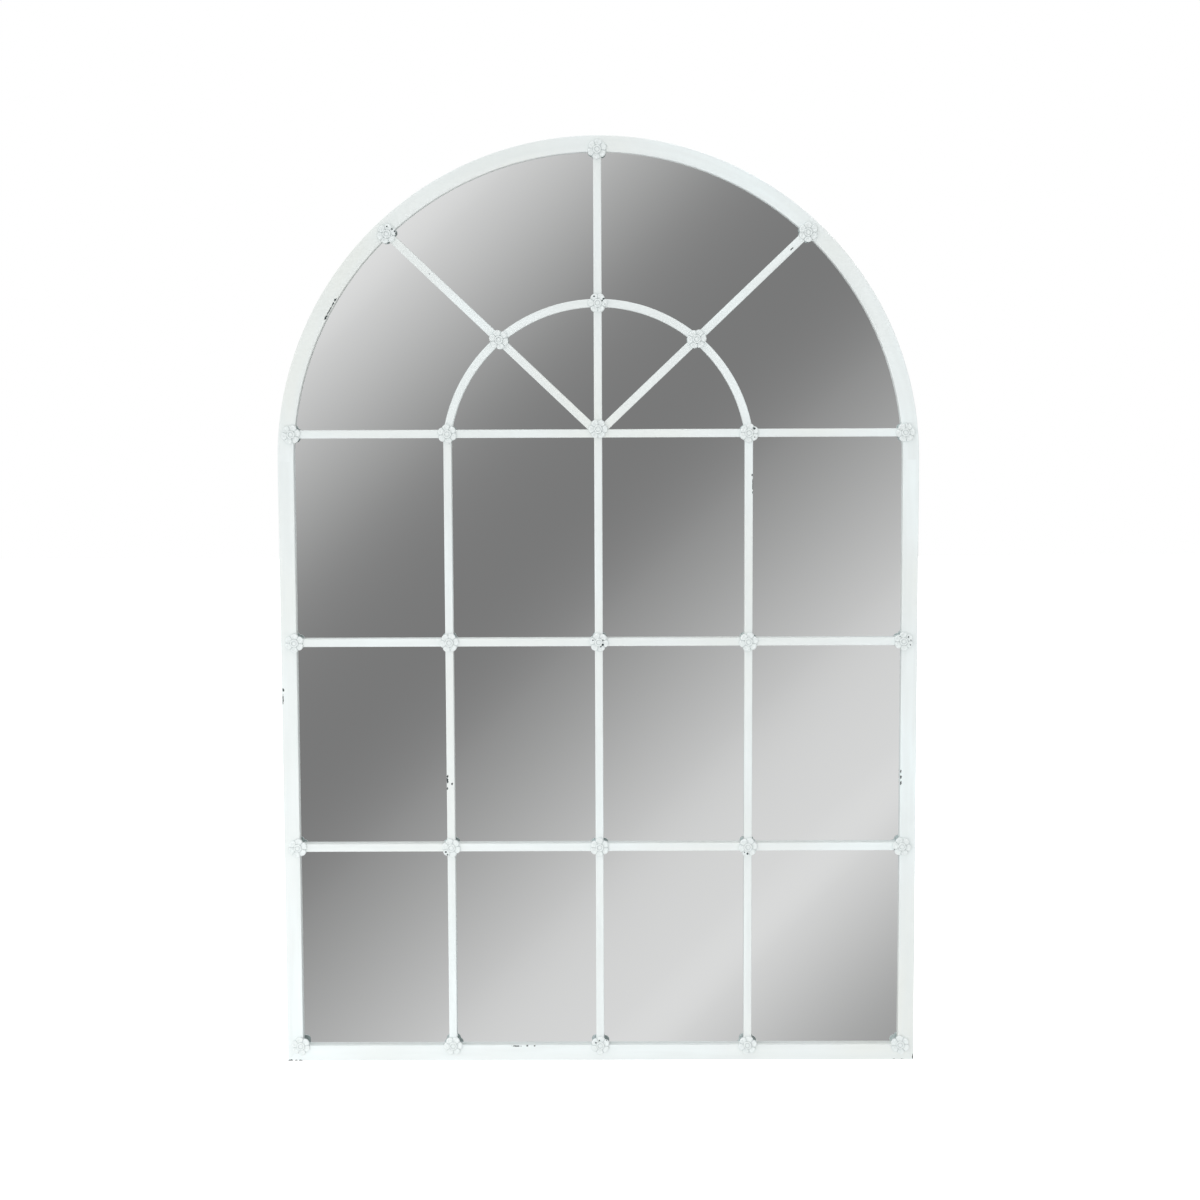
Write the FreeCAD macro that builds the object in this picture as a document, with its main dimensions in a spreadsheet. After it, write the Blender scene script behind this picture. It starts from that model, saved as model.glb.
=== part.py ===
# Arched window mirror, millimetres.
#
# A welded steel frame in the shape of a round-headed window, four panes wide and three panes
# high under a fan, with a cast rosette on every crossing.  One sheet of mirror glass lies
# behind the bars in a rebate, a backing board lies behind the glass, and eight turn buttons
# on the back hold both in.  Two ring hangers carry it on a wall.
#
# +Z is up, the front faces -Y.  The origin is the middle of the underside of the front
# bottom rail, half way through its depth.

import FreeCAD, Part
import math
import os
import Sketcher

doc = FreeCAD.newDocument("arched_window_mirror")

# ---------------------------------------------------------------------------
# Driving dimensions
# ---------------------------------------------------------------------------

SIZES = (
    # the window
    ("overall_width", 1000.0),       # over the stiles, and twice the arch's outer radius
    ("pane_height", 314.5),          # clear height of every rectangular pane
    ("side_bar_offset", 235.0),      # centre bar to left or right bar
    ("arch_drop", 42.25),            # outer arch's centre below the springline bar
    ("inner_arch_drop", 36.0),       # inner arch's centre below the springline bar
    ("spoke_angle", 43.5),           # spokes above the horizontal
    # front members: rectangular tube outside, solid flat bar inside
    ("frame_width", 25.0),           # face of the outer frame
    ("front_depth", 10.0),           # depth of tube and bars in front of the glass
    ("bar_width", 12.5),             # face of the glazing bars
    ("tube_wall", 1.5),
    ("arris_radius", 1.4),           # rounded front edges
    ("lap_clearance", 0.05),         # each side of a halved crossing
    ("weld_gap", 0.1),               # where a bar ends against the curved frame
    # rear members and what they hold
    ("rear_width", 18.0),            # rear tube, flush with the outside of the frame
    ("glass_thickness", 3.0),
    ("board_thickness", 6.0),
    ("seat_clearance", 0.3),         # board below the back of the rear tube
    ("edge_clearance", 1.0),         # glass and board inside the rear tube
    # rosettes
    ("rosette_radius", 15.0),
    ("rosette_inset", 21.5),         # centre from the outside of stile and arch
    ("rail_rosette_height", 24.5),   # centre above the underside of the rail
    ("hub_rise", 7.0),               # hub rosette above the springline bar's centre
    ("petal_radius", 6.0),
    ("petal_edge", 1.7),             # thickness at the petal's rim
    ("petal_crown", 2.5),            # dome above the rim
    ("cup_radius", 3.0),             # hollow in each petal
    ("cup_depth", 1.1),
    ("boss_radius", 5.0),
    ("boss_height", 3.8),
    ("bead_radius", 1.1),            # ring round the boss
    ("bead_circle", 4.4),            # radius of the ring's middle line
    ("eye_radius", 3.0),             # dome in the middle
    ("eye_sink", 1.5),               # its centre below the top of the boss
    # screws, in the hangers and under the turn buttons
    ("screw_radius", 2.0),
    ("screw_length", 8.0),
    ("head_radius", 3.6),
    ("head_top_radius", 2.5),
    ("head_height", 2.2),
    ("slot_width", 1.0),
    ("slot_depth", 0.9),
    ("hole_clearance", 0.05),        # screw in its drilled hole
    ("pivot_clearance", 0.08),       # turning pieces on their pivots
    ("running_gap", 0.15),           # flat faces of turning pieces
    # turn buttons
    ("button_reach", 26.0),          # pivot to the centre of the round end
    ("button_width", 12.0),
    ("button_thickness", 2.0),
    ("button_low", 260.0),           # heights on the stiles
    ("button_high", 720.0),
    ("button_side", 250.0),          # distance from the middle on the rail
    ("button_arch_angle", 52.0),     # on the arch, above the horizontal
    # ring hangers
    ("hanger_drop", 30.0),           # pivot below the arch's centre
    ("hanger_inset", 10.5),          # centre from the outside of the stile
    ("strap_width", 12.0),
    ("strap_length", 46.0),
    ("strap_thickness", 1.2),
    ("strap_hole_first", 21.0),      # below the pivot
    ("strap_hole_pitch", 17.0),
    ("strap_lift", 0.5),             # eye held off the frame
    ("wire_radius", 1.5),
    ("ring_half_width", 8.5),        # to the centre of the wire
    ("ring_leg", 5.5),               # pivot to the start of the round end
    # wall bumpers
    ("bumper_radius", 6.0),
    ("bumper_thickness", 7.0),
    ("bumper_height", 45.0),         # lower pair above the underside of the rail
    ("bumper_arch_angle", 66.0),     # upper pair on the arch
)

sizes = doc.addObject("Spreadsheet::Sheet", "sizes")
for row, (alias, number) in enumerate(SIZES, start=1):
    sizes.set(f"A{row}", str(number))
    sizes.setAlias(f"A{row}", alias)
doc.recompute()


def value(expression):
    """The number that an expression on the sheet stands for."""
    return float(sizes.evalExpression(str(expression)))


# ---------------------------------------------------------------------------
# Places that follow from the driving dimensions, as expressions on the sheet
# ---------------------------------------------------------------------------

HALF_WIDTH = "(sizes.overall_width / 2)"
HALF_BAR = "(sizes.bar_width / 2)"
ROW_PITCH = "(sizes.pane_height + sizes.bar_width)"
LOWER_Z = f"(sizes.frame_width + sizes.pane_height + {HALF_BAR})"
UPPER_Z = f"({LOWER_Z} + {ROW_PITCH})"
SPRING_Z = f"({UPPER_Z} + {ROW_PITCH})"
ARCH_Z = f"({SPRING_Z} - sizes.arch_drop)"
ARCH_INSIDE = f"({HALF_WIDTH} - sizes.frame_width)"

INNER_ARCH_RADIUS = "sqrt(sizes.side_bar_offset ^ 2 + sizes.inner_arch_drop ^ 2)"
INNER_ARCH_Z = f"({SPRING_Z} - sizes.inner_arch_drop)"

FRONT_Y = "(-sizes.front_depth / 2)"
GLASS_Y = "(sizes.front_depth / 2)"
REAR_DEPTH = "(sizes.glass_thickness + sizes.board_thickness + sizes.seat_clearance)"
BACK_Y = f"({GLASS_Y} + {REAR_DEPTH})"
REAR_INSIDE = f"({HALF_WIDTH} - sizes.rear_width)"
REAR_MIDDLE = f"({HALF_WIDTH} - sizes.rear_width / 2)"


def along_spoke(radius, drop):
    """Distance from the hub, along a spoke, to a circle centred that far below the hub."""
    across = f"({drop} * cos(sizes.spoke_angle))"
    return f"(sqrt(({radius}) ^ 2 - {across} ^ 2) - {drop} * sin(sizes.spoke_angle))"


# ---------------------------------------------------------------------------
# Helpers
# ---------------------------------------------------------------------------

X_AXIS = FreeCAD.Vector(1, 0, 0)
Y_AXIS = FreeCAD.Vector(0, 1, 0)
Z_AXIS = FreeCAD.Vector(0, 0, 1)
TINY = 1e-6
ORIGIN_POINT = (-1, 1)
H_AXIS = -1
V_AXIS = -2

subparts = []


def bind(item, **expressions):
    """Tie properties to the sheet; __ in a name stands for the dot of a nested property."""
    for name, expression in expressions.items():
        item.setExpression(name.replace("__", "."), str(expression))
    return item


def place(item, x="0", y="0", z="0", rotation=None):
    """Put an item at a place given by expressions, after any rotation."""
    if rotation is not None:
        item.Placement = FreeCAD.Placement(FreeCAD.Vector(), rotation)
    return bind(item, Placement__Base__x=x, Placement__Base__y=y, Placement__Base__z=z)


def keep(item, label):
    """Name a finished sub-part; its label is its node."""
    item.Label = label
    subparts.append(item)
    return item


def new_body(name):
    return doc.addObject("PartDesign::Body", name)


def origin_plane(body, role):
    for feature in body.Origin.OriginFeatures:
        if feature.Role == role:
            return feature
    raise ValueError(f"{body.Name} has no {role}")


def new_sketch(body, name, role):
    sketch = body.newObject("Sketcher::SketchObject", name)
    sketch.AttachmentSupport = (origin_plane(body, role), [""])
    sketch.MapMode = "FlatFace"
    return sketch


def pin_point(sketch, geometry, point, across, up):
    """Hold one sketch point at coordinates given by expressions."""
    for kind, expression, axis in (("DistanceX", across, V_AXIS), ("DistanceY", up, H_AXIS)):
        number = value(expression)
        if abs(number) < TINY:
            sketch.addConstraint(Sketcher.Constraint("PointOnObject", geometry, point, axis))
        else:
            constraint = Sketcher.Constraint(kind, *ORIGIN_POINT, geometry, point, number)
            index = sketch.addConstraint(constraint)
            sketch.setExpression(f"Constraints[{index}]", str(expression))


def draw_polygon(sketch, corners):
    """A closed run of lines whose corners are pairs of expressions."""
    points = [FreeCAD.Vector(value(across), value(up), 0) for across, up in corners]
    first = sketch.GeometryCount
    count = len(points)
    for index, point in enumerate(points):
        sketch.addGeometry(Part.LineSegment(point, points[(index + 1) % count]), False)
    for index, (across, up) in enumerate(corners):
        following = first + (index + 1) % count
        sketch.addConstraint(Sketcher.Constraint("Coincident", first + index, 2, following, 1))
        pin_point(sketch, first + index, 1, across, up)


def draw_arched_outline(sketch, radius, foot):
    """A rectangle under a half circle whose centre is the sketch's origin."""
    r = value(radius)
    low = -value(foot)
    start, end = FreeCAD.Vector(r, 0, 0), FreeCAD.Vector(-r, 0, 0)
    full = Part.Circle(FreeCAD.Vector(), Z_AXIS, r)
    arc = sketch.addGeometry(Part.ArcOfCircle(full, 0.0, math.pi), False)
    sketch.addConstraint(Sketcher.Constraint("Coincident", arc, 3, *ORIGIN_POINT))
    index = sketch.addConstraint(Sketcher.Constraint("Radius", arc, r))
    sketch.setExpression(f"Constraints[{index}]", str(radius))
    left_foot, right_foot = FreeCAD.Vector(-r, low, 0), FreeCAD.Vector(r, low, 0)
    left = sketch.addGeometry(Part.LineSegment(end, left_foot), False)
    bottom = sketch.addGeometry(Part.LineSegment(left_foot, right_foot), False)
    right = sketch.addGeometry(Part.LineSegment(right_foot, start), False)
    for one, one_end, other, other_end in ((arc, 2, left, 1), (left, 2, bottom, 1),
                                           (bottom, 2, right, 1), (right, 2, arc, 1)):
        sketch.addConstraint(Sketcher.Constraint("Coincident", one, one_end, other, other_end))
    sketch.addConstraint(Sketcher.Constraint("PointOnObject", arc, 1, H_AXIS))
    sketch.addConstraint(Sketcher.Constraint("PointOnObject", arc, 2, H_AXIS))
    sketch.addConstraint(Sketcher.Constraint("Vertical", left))
    sketch.addConstraint(Sketcher.Constraint("Vertical", right))
    sketch.addConstraint(Sketcher.Constraint("Horizontal", bottom))
    pin_height = Sketcher.Constraint("DistanceY", *ORIGIN_POINT, left, 2, low)
    index = sketch.addConstraint(pin_height)
    sketch.setExpression(f"Constraints[{index}]", f"-({foot})")


def pad(body, sketch, name, length):
    """Pad a sketch of the XZ plane; the solid grows towards -Y from the body's place."""
    feature = body.newObject("PartDesign::Pad", name)
    feature.Profile = sketch
    bind(feature, Length=length)
    return feature


def round_front(body, feature, name, along=None):
    """Round the long front edges: all circular ones, or the straight ones along a direction."""
    doc.recompute()
    front = feature.Shape.BoundBox.YMin
    chosen = []
    for index, edge in enumerate(feature.Shape.Edges, start=1):
        box = edge.BoundBox
        on_front = abs(box.YMin - front) < TINY and abs(box.YMax - front) < TINY
        if along is None:
            long_way = isinstance(edge.Curve, Part.Circle)
        else:
            straight = isinstance(edge.Curve, Part.Line)
            long_way = straight and abs(edge.Curve.Direction.dot(along)) > 1 - TINY
        if on_front and long_way:
            chosen.append(f"Edge{index}")
    fillet = body.newObject("PartDesign::Fillet", name)
    fillet.Base = (feature, chosen)
    bind(fillet, Radius="sizes.arris_radius")
    return fillet


def box(name, x, y, z, length, width, height):
    """A box between x and x + length, y and y + width, z and z + height."""
    item = doc.addObject("Part::Box", name)
    bind(item, Length=length, Width=width, Height=height)
    return place(item, x, y, z)


def rod_y(name, x, y, z, radius, length):
    """A cylinder that runs from y towards +Y."""
    item = doc.addObject("Part::Cylinder", name)
    bind(item, Radius=radius, Height=length)
    return place(item, x, y, z, FreeCAD.Rotation(X_AXIS, -90))


def fuse(name, *items):
    item = doc.addObject("Part::MultiFuse", name)
    item.Shapes = list(items)
    return item


def cut(name, base, *tools):
    item = doc.addObject("Part::Cut", name)
    item.Base = base
    item.Tool = tools[0] if len(tools) == 1 else fuse(f"{name}_tools", *tools)
    return item


def group(name, *items):
    item = doc.addObject("Part::Compound", name)
    item.Links = list(items)
    return item


def half_ring(name, outer, inner, y, depth, wall=None):
    """A half ring above its centre, from a section turned about Y; hollow if it has a wall."""
    body = new_body(name)
    sketch = new_sketch(body, f"{name}_section", "XY_Plane")
    draw_polygon(sketch, ((inner, "0"), (outer, "0"), (outer, depth), (inner, depth)))
    if wall is not None:
        low, high = f"({wall})", f"({depth} - {wall})"
        near, far = f"({inner} + {wall})", f"({outer} - {wall})"
        draw_polygon(sketch, ((near, low), (far, low), (far, high), (near, high)))
    turned = body.newObject("PartDesign::Revolution", f"{name}_turned")
    turned.Profile = sketch
    turned.ReferenceAxis = (sketch, ["V_Axis"])
    turned.Angle = 180
    turned.Reversed = True
    return place(body, "0", y, ARCH_Z), turned


def flat_member(name, corners, back_y, depth):
    """A straight member: an outline in the XZ plane, padded forward from its back."""
    body = new_body(name)
    sketch = new_sketch(body, f"{name}_outline", "XZ_Plane")
    draw_polygon(sketch, corners)
    padded = pad(body, sketch, f"{name}_pad", depth)
    return place(body, "0", back_y, "0"), padded


# ---------------------------------------------------------------------------
# Tools that several members are cut with
# ---------------------------------------------------------------------------

def half_ring_tool(name, outer, inner, y, depth, z):
    """The upper half of a ring, to cut bars with."""
    upper_half = FreeCAD.Rotation(X_AXIS, -90).multiply(FreeCAD.Rotation(Z_AXIS, 180))
    disc = doc.addObject("Part::Cylinder", f"{name}_disc")
    disc.Angle = 180
    bind(disc, Radius=outer, Height=depth)
    place(disc, "0", y, z, upper_half)
    core = rod_y(f"{name}_core", "0", y, z, inner, depth)
    return cut(name, disc, core)


# where the outer frame stands: bars end against it
arch_reach = half_ring_tool("arch_reach", HALF_WIDTH, f"({ARCH_INSIDE} - sizes.weld_gap)",
                            FRONT_Y, "sizes.front_depth", ARCH_Z)

# the inner arch with its lap clearance, for the back halves of what crosses in front of it
HALF_LAP = f"({HALF_BAR} + sizes.lap_clearance)"
inner_arch_lap = half_ring_tool("inner_arch_lap", f"({INNER_ARCH_RADIUS} + {HALF_LAP})",
                                f"({INNER_ARCH_RADIUS} - {HALF_LAP})",
                                "0", "sizes.front_depth / 2", INNER_ARCH_Z)

LAP_WIDTH = "(sizes.bar_width + 2 * sizes.lap_clearance)"
LAP_DEPTH = "(sizes.front_depth / 2)"


def upright_lap(name, x):
    """The front half of an upright bar, taken out of what crosses behind it."""
    return box(name, f"({x}) - {HALF_LAP}", FRONT_Y, "0", LAP_WIDTH, LAP_DEPTH,
               f"({ARCH_Z} + {HALF_WIDTH})")


def cross_lap(name, z):
    """The back half of a cross bar, taken out of the uprights in front of it."""
    return box(name, f"-{HALF_WIDTH}", "0", f"{z} - {HALF_LAP}", "sizes.overall_width",
               LAP_DEPTH, LAP_WIDTH)


centre_lap = upright_lap("centre_lap", "0")
left_lap = upright_lap("left_lap", "-sizes.side_bar_offset")
right_lap = upright_lap("right_lap", "sizes.side_bar_offset")
lower_lap = cross_lap("lower_lap", LOWER_Z)
upper_lap = cross_lap("upper_lap", UPPER_Z)
spring_lap = cross_lap("spring_lap", SPRING_Z)

# ---------------------------------------------------------------------------
# Outer frame, front layer: rectangular tube, mitred at the bottom corners
# ---------------------------------------------------------------------------

body, turned = half_ring("outer_arch", HALF_WIDTH, ARCH_INSIDE, FRONT_Y, "sizes.front_depth",
                         "sizes.tube_wall")
round_front(body, turned, "outer_arch_arris")
keep(body, "outer_arch")


def tube_bore(name, width, y, depth, upright_side=None):
    """The hollow of a straight tube; side is -1 or 1 for a stile and None for a rail."""
    inner_width = f"({width} - 2 * sizes.tube_wall)"
    inner_depth = f"({depth} - 2 * sizes.tube_wall)"
    inner_y = f"({y} + sizes.tube_wall)"
    if upright_side is None:
        return box(name, f"-{HALF_WIDTH}", inner_y, "sizes.tube_wall",
                   "sizes.overall_width", inner_depth, inner_width)
    if upright_side < 0:
        left = f"(-{HALF_WIDTH} + sizes.tube_wall)"
    else:
        left = f"({HALF_WIDTH} - {width} + sizes.tube_wall)"
    return box(name, left, inner_y, "0", inner_width, inner_depth, ARCH_Z)


def stile_corners(side, width):
    """A stile's outline: mitred foot, square top against the arch."""
    sign = "-" if side < 0 else ""
    outside = f"{sign}{HALF_WIDTH}"
    inside = f"{sign}({HALF_WIDTH} - {width})"
    return ((outside, "0"), (inside, width), (inside, ARCH_Z), (outside, ARCH_Z))


def rail_corners(width):
    inside = f"({HALF_WIDTH} - {width})"
    return ((f"-{HALF_WIDTH}", "0"), (HALF_WIDTH, "0"), (inside, width), (f"-{inside}", width))


for side, word in ((-1, "left"), (1, "right")):
    body, padded = flat_member(f"{word}_stile_bar", stile_corners(side, "sizes.frame_width"),
                               GLASS_Y, "sizes.front_depth")
    round_front(body, padded, f"{word}_stile_arris", Z_AXIS)
    bore = tube_bore(f"{word}_stile_bore", "sizes.frame_width", FRONT_Y, "sizes.front_depth", side)
    keep(cut(f"{word}_stile_tube", body, bore), f"{word}_stile")

body, padded = flat_member("bottom_rail_bar", rail_corners("sizes.frame_width"), GLASS_Y,
                           "sizes.front_depth")
round_front(body, padded, "bottom_rail_arris", X_AXIS)
bore = tube_bore("bottom_rail_bore", "sizes.frame_width", FRONT_Y, "sizes.front_depth")
keep(cut("bottom_rail_tube", body, bore), "bottom_rail")

# ---------------------------------------------------------------------------
# Glazing bars: solid flat bar, halved where they cross, uprights in front
# ---------------------------------------------------------------------------


def upright_bar(name, x, top, *tools):
    left, right = f"({x} - {HALF_BAR})", f"({x} + {HALF_BAR})"
    corners = ((left, "sizes.frame_width"), (right, "sizes.frame_width"), (right, top), (left, top))
    body, padded = flat_member(f"{name}_stock", corners, GLASS_Y, "sizes.front_depth")
    round_front(body, padded, f"{name}_arris", Z_AXIS)
    keep(cut(f"{name}_halved", body, *tools), name)


def cross_bar(name, z, half_length, *tools):
    low, high = f"({z} - {HALF_BAR})", f"({z} + {HALF_BAR})"
    corners = ((f"-{half_length}", low), (half_length, low), (half_length, high),
               (f"-{half_length}", high))
    body, padded = flat_member(f"{name}_stock", corners, GLASS_Y, "sizes.front_depth")
    round_front(body, padded, f"{name}_arris", X_AXIS)
    keep(cut(f"{name}_halved", body, *tools), name)


INSIDE_FRAME = f"({HALF_WIDTH} - sizes.frame_width / 2)"
SPRING_TOP = f"({SPRING_Z} + {HALF_BAR})"

upright_bar("centre_bar", "0", f"({ARCH_Z} + {INSIDE_FRAME})",
            lower_lap, upper_lap, spring_lap, inner_arch_lap, arch_reach)
upright_bar("left_bar", "(-sizes.side_bar_offset)", SPRING_TOP, lower_lap, upper_lap, spring_lap)
upright_bar("right_bar", "sizes.side_bar_offset", SPRING_TOP, lower_lap, upper_lap, spring_lap)

cross_bar("lower_cross_bar", LOWER_Z, ARCH_INSIDE, left_lap, centre_lap, right_lap)
cross_bar("upper_cross_bar", UPPER_Z, ARCH_INSIDE, left_lap, centre_lap, right_lap)
cross_bar("springline_bar", SPRING_Z, INSIDE_FRAME, left_lap, centre_lap, right_lap, arch_reach)

# ---------------------------------------------------------------------------
# The fan: two spokes from the hub, and an inner arch behind them
# ---------------------------------------------------------------------------

SPOKE_LENGTH = along_spoke(INSIDE_FRAME, "sizes.arch_drop")

below_spring = box("below_spring", f"-{HALF_WIDTH}", FRONT_Y, "0", "sizes.overall_width",
                   "sizes.front_depth", SPRING_TOP)
centre_reach = box("centre_reach", f"-{HALF_BAR}", FRONT_Y, "0", "sizes.bar_width",
                   "sizes.front_depth", f"({ARCH_Z} + {HALF_WIDTH})")


def turn_to_spoke(item, side, y):
    """Lay an item that runs along +X on a spoke's line, starting at the hub."""
    item.Placement = FreeCAD.Placement(FreeCAD.Vector(), FreeCAD.Rotation(-Y_AXIS, 1))
    angle = "sizes.spoke_angle" if side > 0 else "180 - sizes.spoke_angle"
    bind(item, Placement__Rotation__Angle=angle, Placement__Base__x="0", Placement__Base__y=y,
         Placement__Base__z=SPRING_Z)


spoke_laps = []
for side, word in ((-1, "left"), (1, "right")):
    corners = (("0", f"-{HALF_BAR}"), (SPOKE_LENGTH, f"-{HALF_BAR}"), (SPOKE_LENGTH, HALF_BAR),
               ("0", HALF_BAR))
    body, padded = flat_member(f"{word}_spoke_stock", corners, GLASS_Y, "sizes.front_depth")
    turn_to_spoke(body, side, GLASS_Y)
    round_front(body, padded, f"{word}_spoke_arris", X_AXIS)
    keep(cut(f"{word}_spoke_cut", body, below_spring, centre_reach, inner_arch_lap, arch_reach),
         f"{word}_spoke")
    lap = new_body(f"{word}_spoke_lap")
    lap_sketch = new_sketch(lap, f"{word}_spoke_lap_outline", "XZ_Plane")
    draw_polygon(lap_sketch, (("0", f"-{HALF_LAP}"), (SPOKE_LENGTH, f"-{HALF_LAP}"),
                              (SPOKE_LENGTH, HALF_LAP), ("0", HALF_LAP)))
    pad(lap, lap_sketch, f"{word}_spoke_lap_pad", LAP_DEPTH)
    turn_to_spoke(lap, side, "0")
    spoke_laps.append(lap)

body, turned = half_ring("inner_arch_stock", f"({INNER_ARCH_RADIUS} + {HALF_BAR})",
                         f"({INNER_ARCH_RADIUS} - {HALF_BAR})", FRONT_Y, "sizes.front_depth")
round_front(body, turned, "inner_arch_arris")
place(body, "0", FRONT_Y, INNER_ARCH_Z)
keep(cut("inner_arch_halved", body, below_spring, centre_lap, *spoke_laps), "inner_arch")

# ---------------------------------------------------------------------------
# Rear layer: a narrower tube behind the outer frame makes the rebate
# ---------------------------------------------------------------------------

BUTTONS = (
    # name, x and z of the pivot, and the way the button points, turned about +Y from +X
    ("left_low", f"-{REAR_MIDDLE}", "sizes.button_low", "0"),
    ("left_high", f"-{REAR_MIDDLE}", "sizes.button_high", "0"),
    ("right_low", REAR_MIDDLE, "sizes.button_low", "180"),
    ("right_high", REAR_MIDDLE, "sizes.button_high", "180"),
    ("bottom_left", "-sizes.button_side", "sizes.rear_width / 2", "-90"),
    ("bottom_right", "sizes.button_side", "sizes.rear_width / 2", "-90"),
    ("arch_left", f"-{REAR_MIDDLE} * cos(sizes.button_arch_angle)",
     f"{ARCH_Z} + {REAR_MIDDLE} * sin(sizes.button_arch_angle)", "sizes.button_arch_angle"),
    ("arch_right", f"{REAR_MIDDLE} * cos(sizes.button_arch_angle)",
     f"{ARCH_Z} + {REAR_MIDDLE} * sin(sizes.button_arch_angle)",
     "180 - sizes.button_arch_angle"),
)

HANGER_X = f"({HALF_WIDTH} - sizes.hanger_inset)"
HANGER_Z = f"({ARCH_Z} - sizes.hanger_drop)"
FIRST_HOLE_Z = f"({HANGER_Z} - sizes.strap_hole_first)"
SECOND_HOLE_Z = f"({FIRST_HOLE_Z} - sizes.strap_hole_pitch)"

HANGER_SCREWS = (
    ("left_first", f"-{HANGER_X}", FIRST_HOLE_Z),
    ("left_second", f"-{HANGER_X}", SECOND_HOLE_Z),
    ("right_first", HANGER_X, FIRST_HOLE_Z),
    ("right_second", HANGER_X, SECOND_HOLE_Z),
)

HOLE_RADIUS = "(sizes.screw_radius + sizes.hole_clearance)"


def drilled(name, x, z):
    """A screw hole through the rear tube's back wall, as deep as the screw."""
    return rod_y(f"hole_{name}", x, f"{BACK_Y} - {REAR_DEPTH} + sizes.tube_wall", z, HOLE_RADIUS,
                 REAR_DEPTH)


button_holes = {name: drilled(name, x, z) for name, x, z, _ in BUTTONS}
hanger_holes = {name: drilled(name, x, z) for name, x, z in HANGER_SCREWS}

body, _ = half_ring("rear_arch_tube", HALF_WIDTH, REAR_INSIDE, GLASS_Y, REAR_DEPTH,
                    "sizes.tube_wall")
keep(cut("rear_arch_drilled", body, button_holes["arch_left"], button_holes["arch_right"]),
     "rear_arch")

for side, word in ((-1, "left"), (1, "right")):
    body, padded = flat_member(f"rear_{word}_stile_bar", stile_corners(side, "sizes.rear_width"),
                               BACK_Y, REAR_DEPTH)
    bore = tube_bore(f"rear_{word}_stile_bore", "sizes.rear_width", GLASS_Y, REAR_DEPTH, side)
    keep(cut(f"rear_{word}_stile_tube", body, bore,
             button_holes[f"{word}_low"], button_holes[f"{word}_high"],
             hanger_holes[f"{word}_first"], hanger_holes[f"{word}_second"]),
         f"rear_{word}_stile")

body, padded = flat_member("rear_bottom_rail_bar", rail_corners("sizes.rear_width"), BACK_Y,
                           REAR_DEPTH)
bore = tube_bore("rear_bottom_rail_bore", "sizes.rear_width", GLASS_Y, REAR_DEPTH)
keep(cut("rear_bottom_rail_tube", body, bore,
         button_holes["bottom_left"], button_holes["bottom_right"]), "rear_bottom_rail")

# ---------------------------------------------------------------------------
# Mirror glass and backing board, in the rebate
# ---------------------------------------------------------------------------


def arched_sheet(label, thickness, back_y):
    body = new_body(f"{label}_sheet")
    sketch = new_sketch(body, f"{label}_outline", "XZ_Plane")
    draw_arched_outline(sketch, f"({REAR_INSIDE} - sizes.edge_clearance)",
                        f"({ARCH_Z} - sizes.rear_width - sizes.edge_clearance)")
    pad(body, sketch, f"{label}_pad", thickness)
    place(body, "0", back_y, ARCH_Z)
    keep(body, label)


arched_sheet("mirror_glass", "sizes.glass_thickness", f"{GLASS_Y} + sizes.glass_thickness")
arched_sheet("backing_board", "sizes.board_thickness",
             f"{GLASS_Y} + sizes.glass_thickness + sizes.board_thickness")

# ---------------------------------------------------------------------------
# Rosettes: six cupped petals round a beaded boss, flat at the back.  Each copy faces -Y.
# ---------------------------------------------------------------------------

PETALS = 6
CAP_RADIUS = ("((sizes.petal_radius ^ 2 + sizes.petal_crown ^ 2)"
              " / (2 * sizes.petal_crown))")
PETAL_REACH = "(sizes.rosette_radius - sizes.petal_radius)"
PETAL_TOP = "(sizes.petal_edge + sizes.petal_crown)"


def round_about(item, index, reach, z):
    """Put an item on a circle about the rosette's middle."""
    turn = 360.0 * index / PETALS
    return place(item, f"{reach} * cos({turn})", f"{reach} * sin({turn})", z)


petal_parts = []
cups = []
for index in range(PETALS):
    rim = doc.addObject("Part::Cylinder", f"petal_rim_{index}")
    bind(rim, Radius="sizes.petal_radius", Height="sizes.petal_edge")
    round_about(rim, index, PETAL_REACH, "0")
    crown = doc.addObject("Part::Sphere", f"petal_crown_{index}")
    bind(crown, Radius=CAP_RADIUS,
         Angle1=f"asin(({CAP_RADIUS} - sizes.petal_crown) / {CAP_RADIUS})")
    round_about(crown, index, PETAL_REACH, f"{PETAL_TOP} - {CAP_RADIUS}")
    cup = doc.addObject("Part::Sphere", f"petal_cup_{index}")
    bind(cup, Radius="sizes.cup_radius")
    round_about(cup, index, PETAL_REACH, f"{PETAL_TOP} + sizes.cup_radius - sizes.cup_depth")
    petal_parts += [rim, crown]
    cups.append(cup)

base = doc.addObject("Part::Cylinder", "rosette_base")
bind(base, Radius=PETAL_REACH, Height="sizes.petal_edge")
boss = doc.addObject("Part::Cylinder", "boss")
bind(boss, Radius="sizes.boss_radius", Height="sizes.boss_height")
bead = doc.addObject("Part::Torus", "bead")
bind(bead, Radius1="sizes.bead_circle", Radius2="sizes.bead_radius")
place(bead, z="sizes.boss_height")
eye = doc.addObject("Part::Sphere", "eye")
bind(eye, Radius="sizes.eye_radius", Angle1="0")
place(eye, z="sizes.boss_height - sizes.eye_sink")

rosette = cut("rosette_master", fuse("rosette_petals", base, boss, bead, eye, *petal_parts),
              fuse("rosette_cups", *cups))

COLUMNS = (
    ("left_stile", f"-({HALF_WIDTH} - sizes.rosette_inset)"),
    ("left_bar", "-sizes.side_bar_offset"),
    ("centre", "0"),
    ("right_bar", "sizes.side_bar_offset"),
    ("right_stile", f"({HALF_WIDTH} - sizes.rosette_inset)"),
)
ROWS = (
    ("springline", SPRING_Z),
    ("upper", UPPER_Z),
    ("lower", LOWER_Z),
    ("rail", "sizes.rail_rosette_height"),
)

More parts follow.
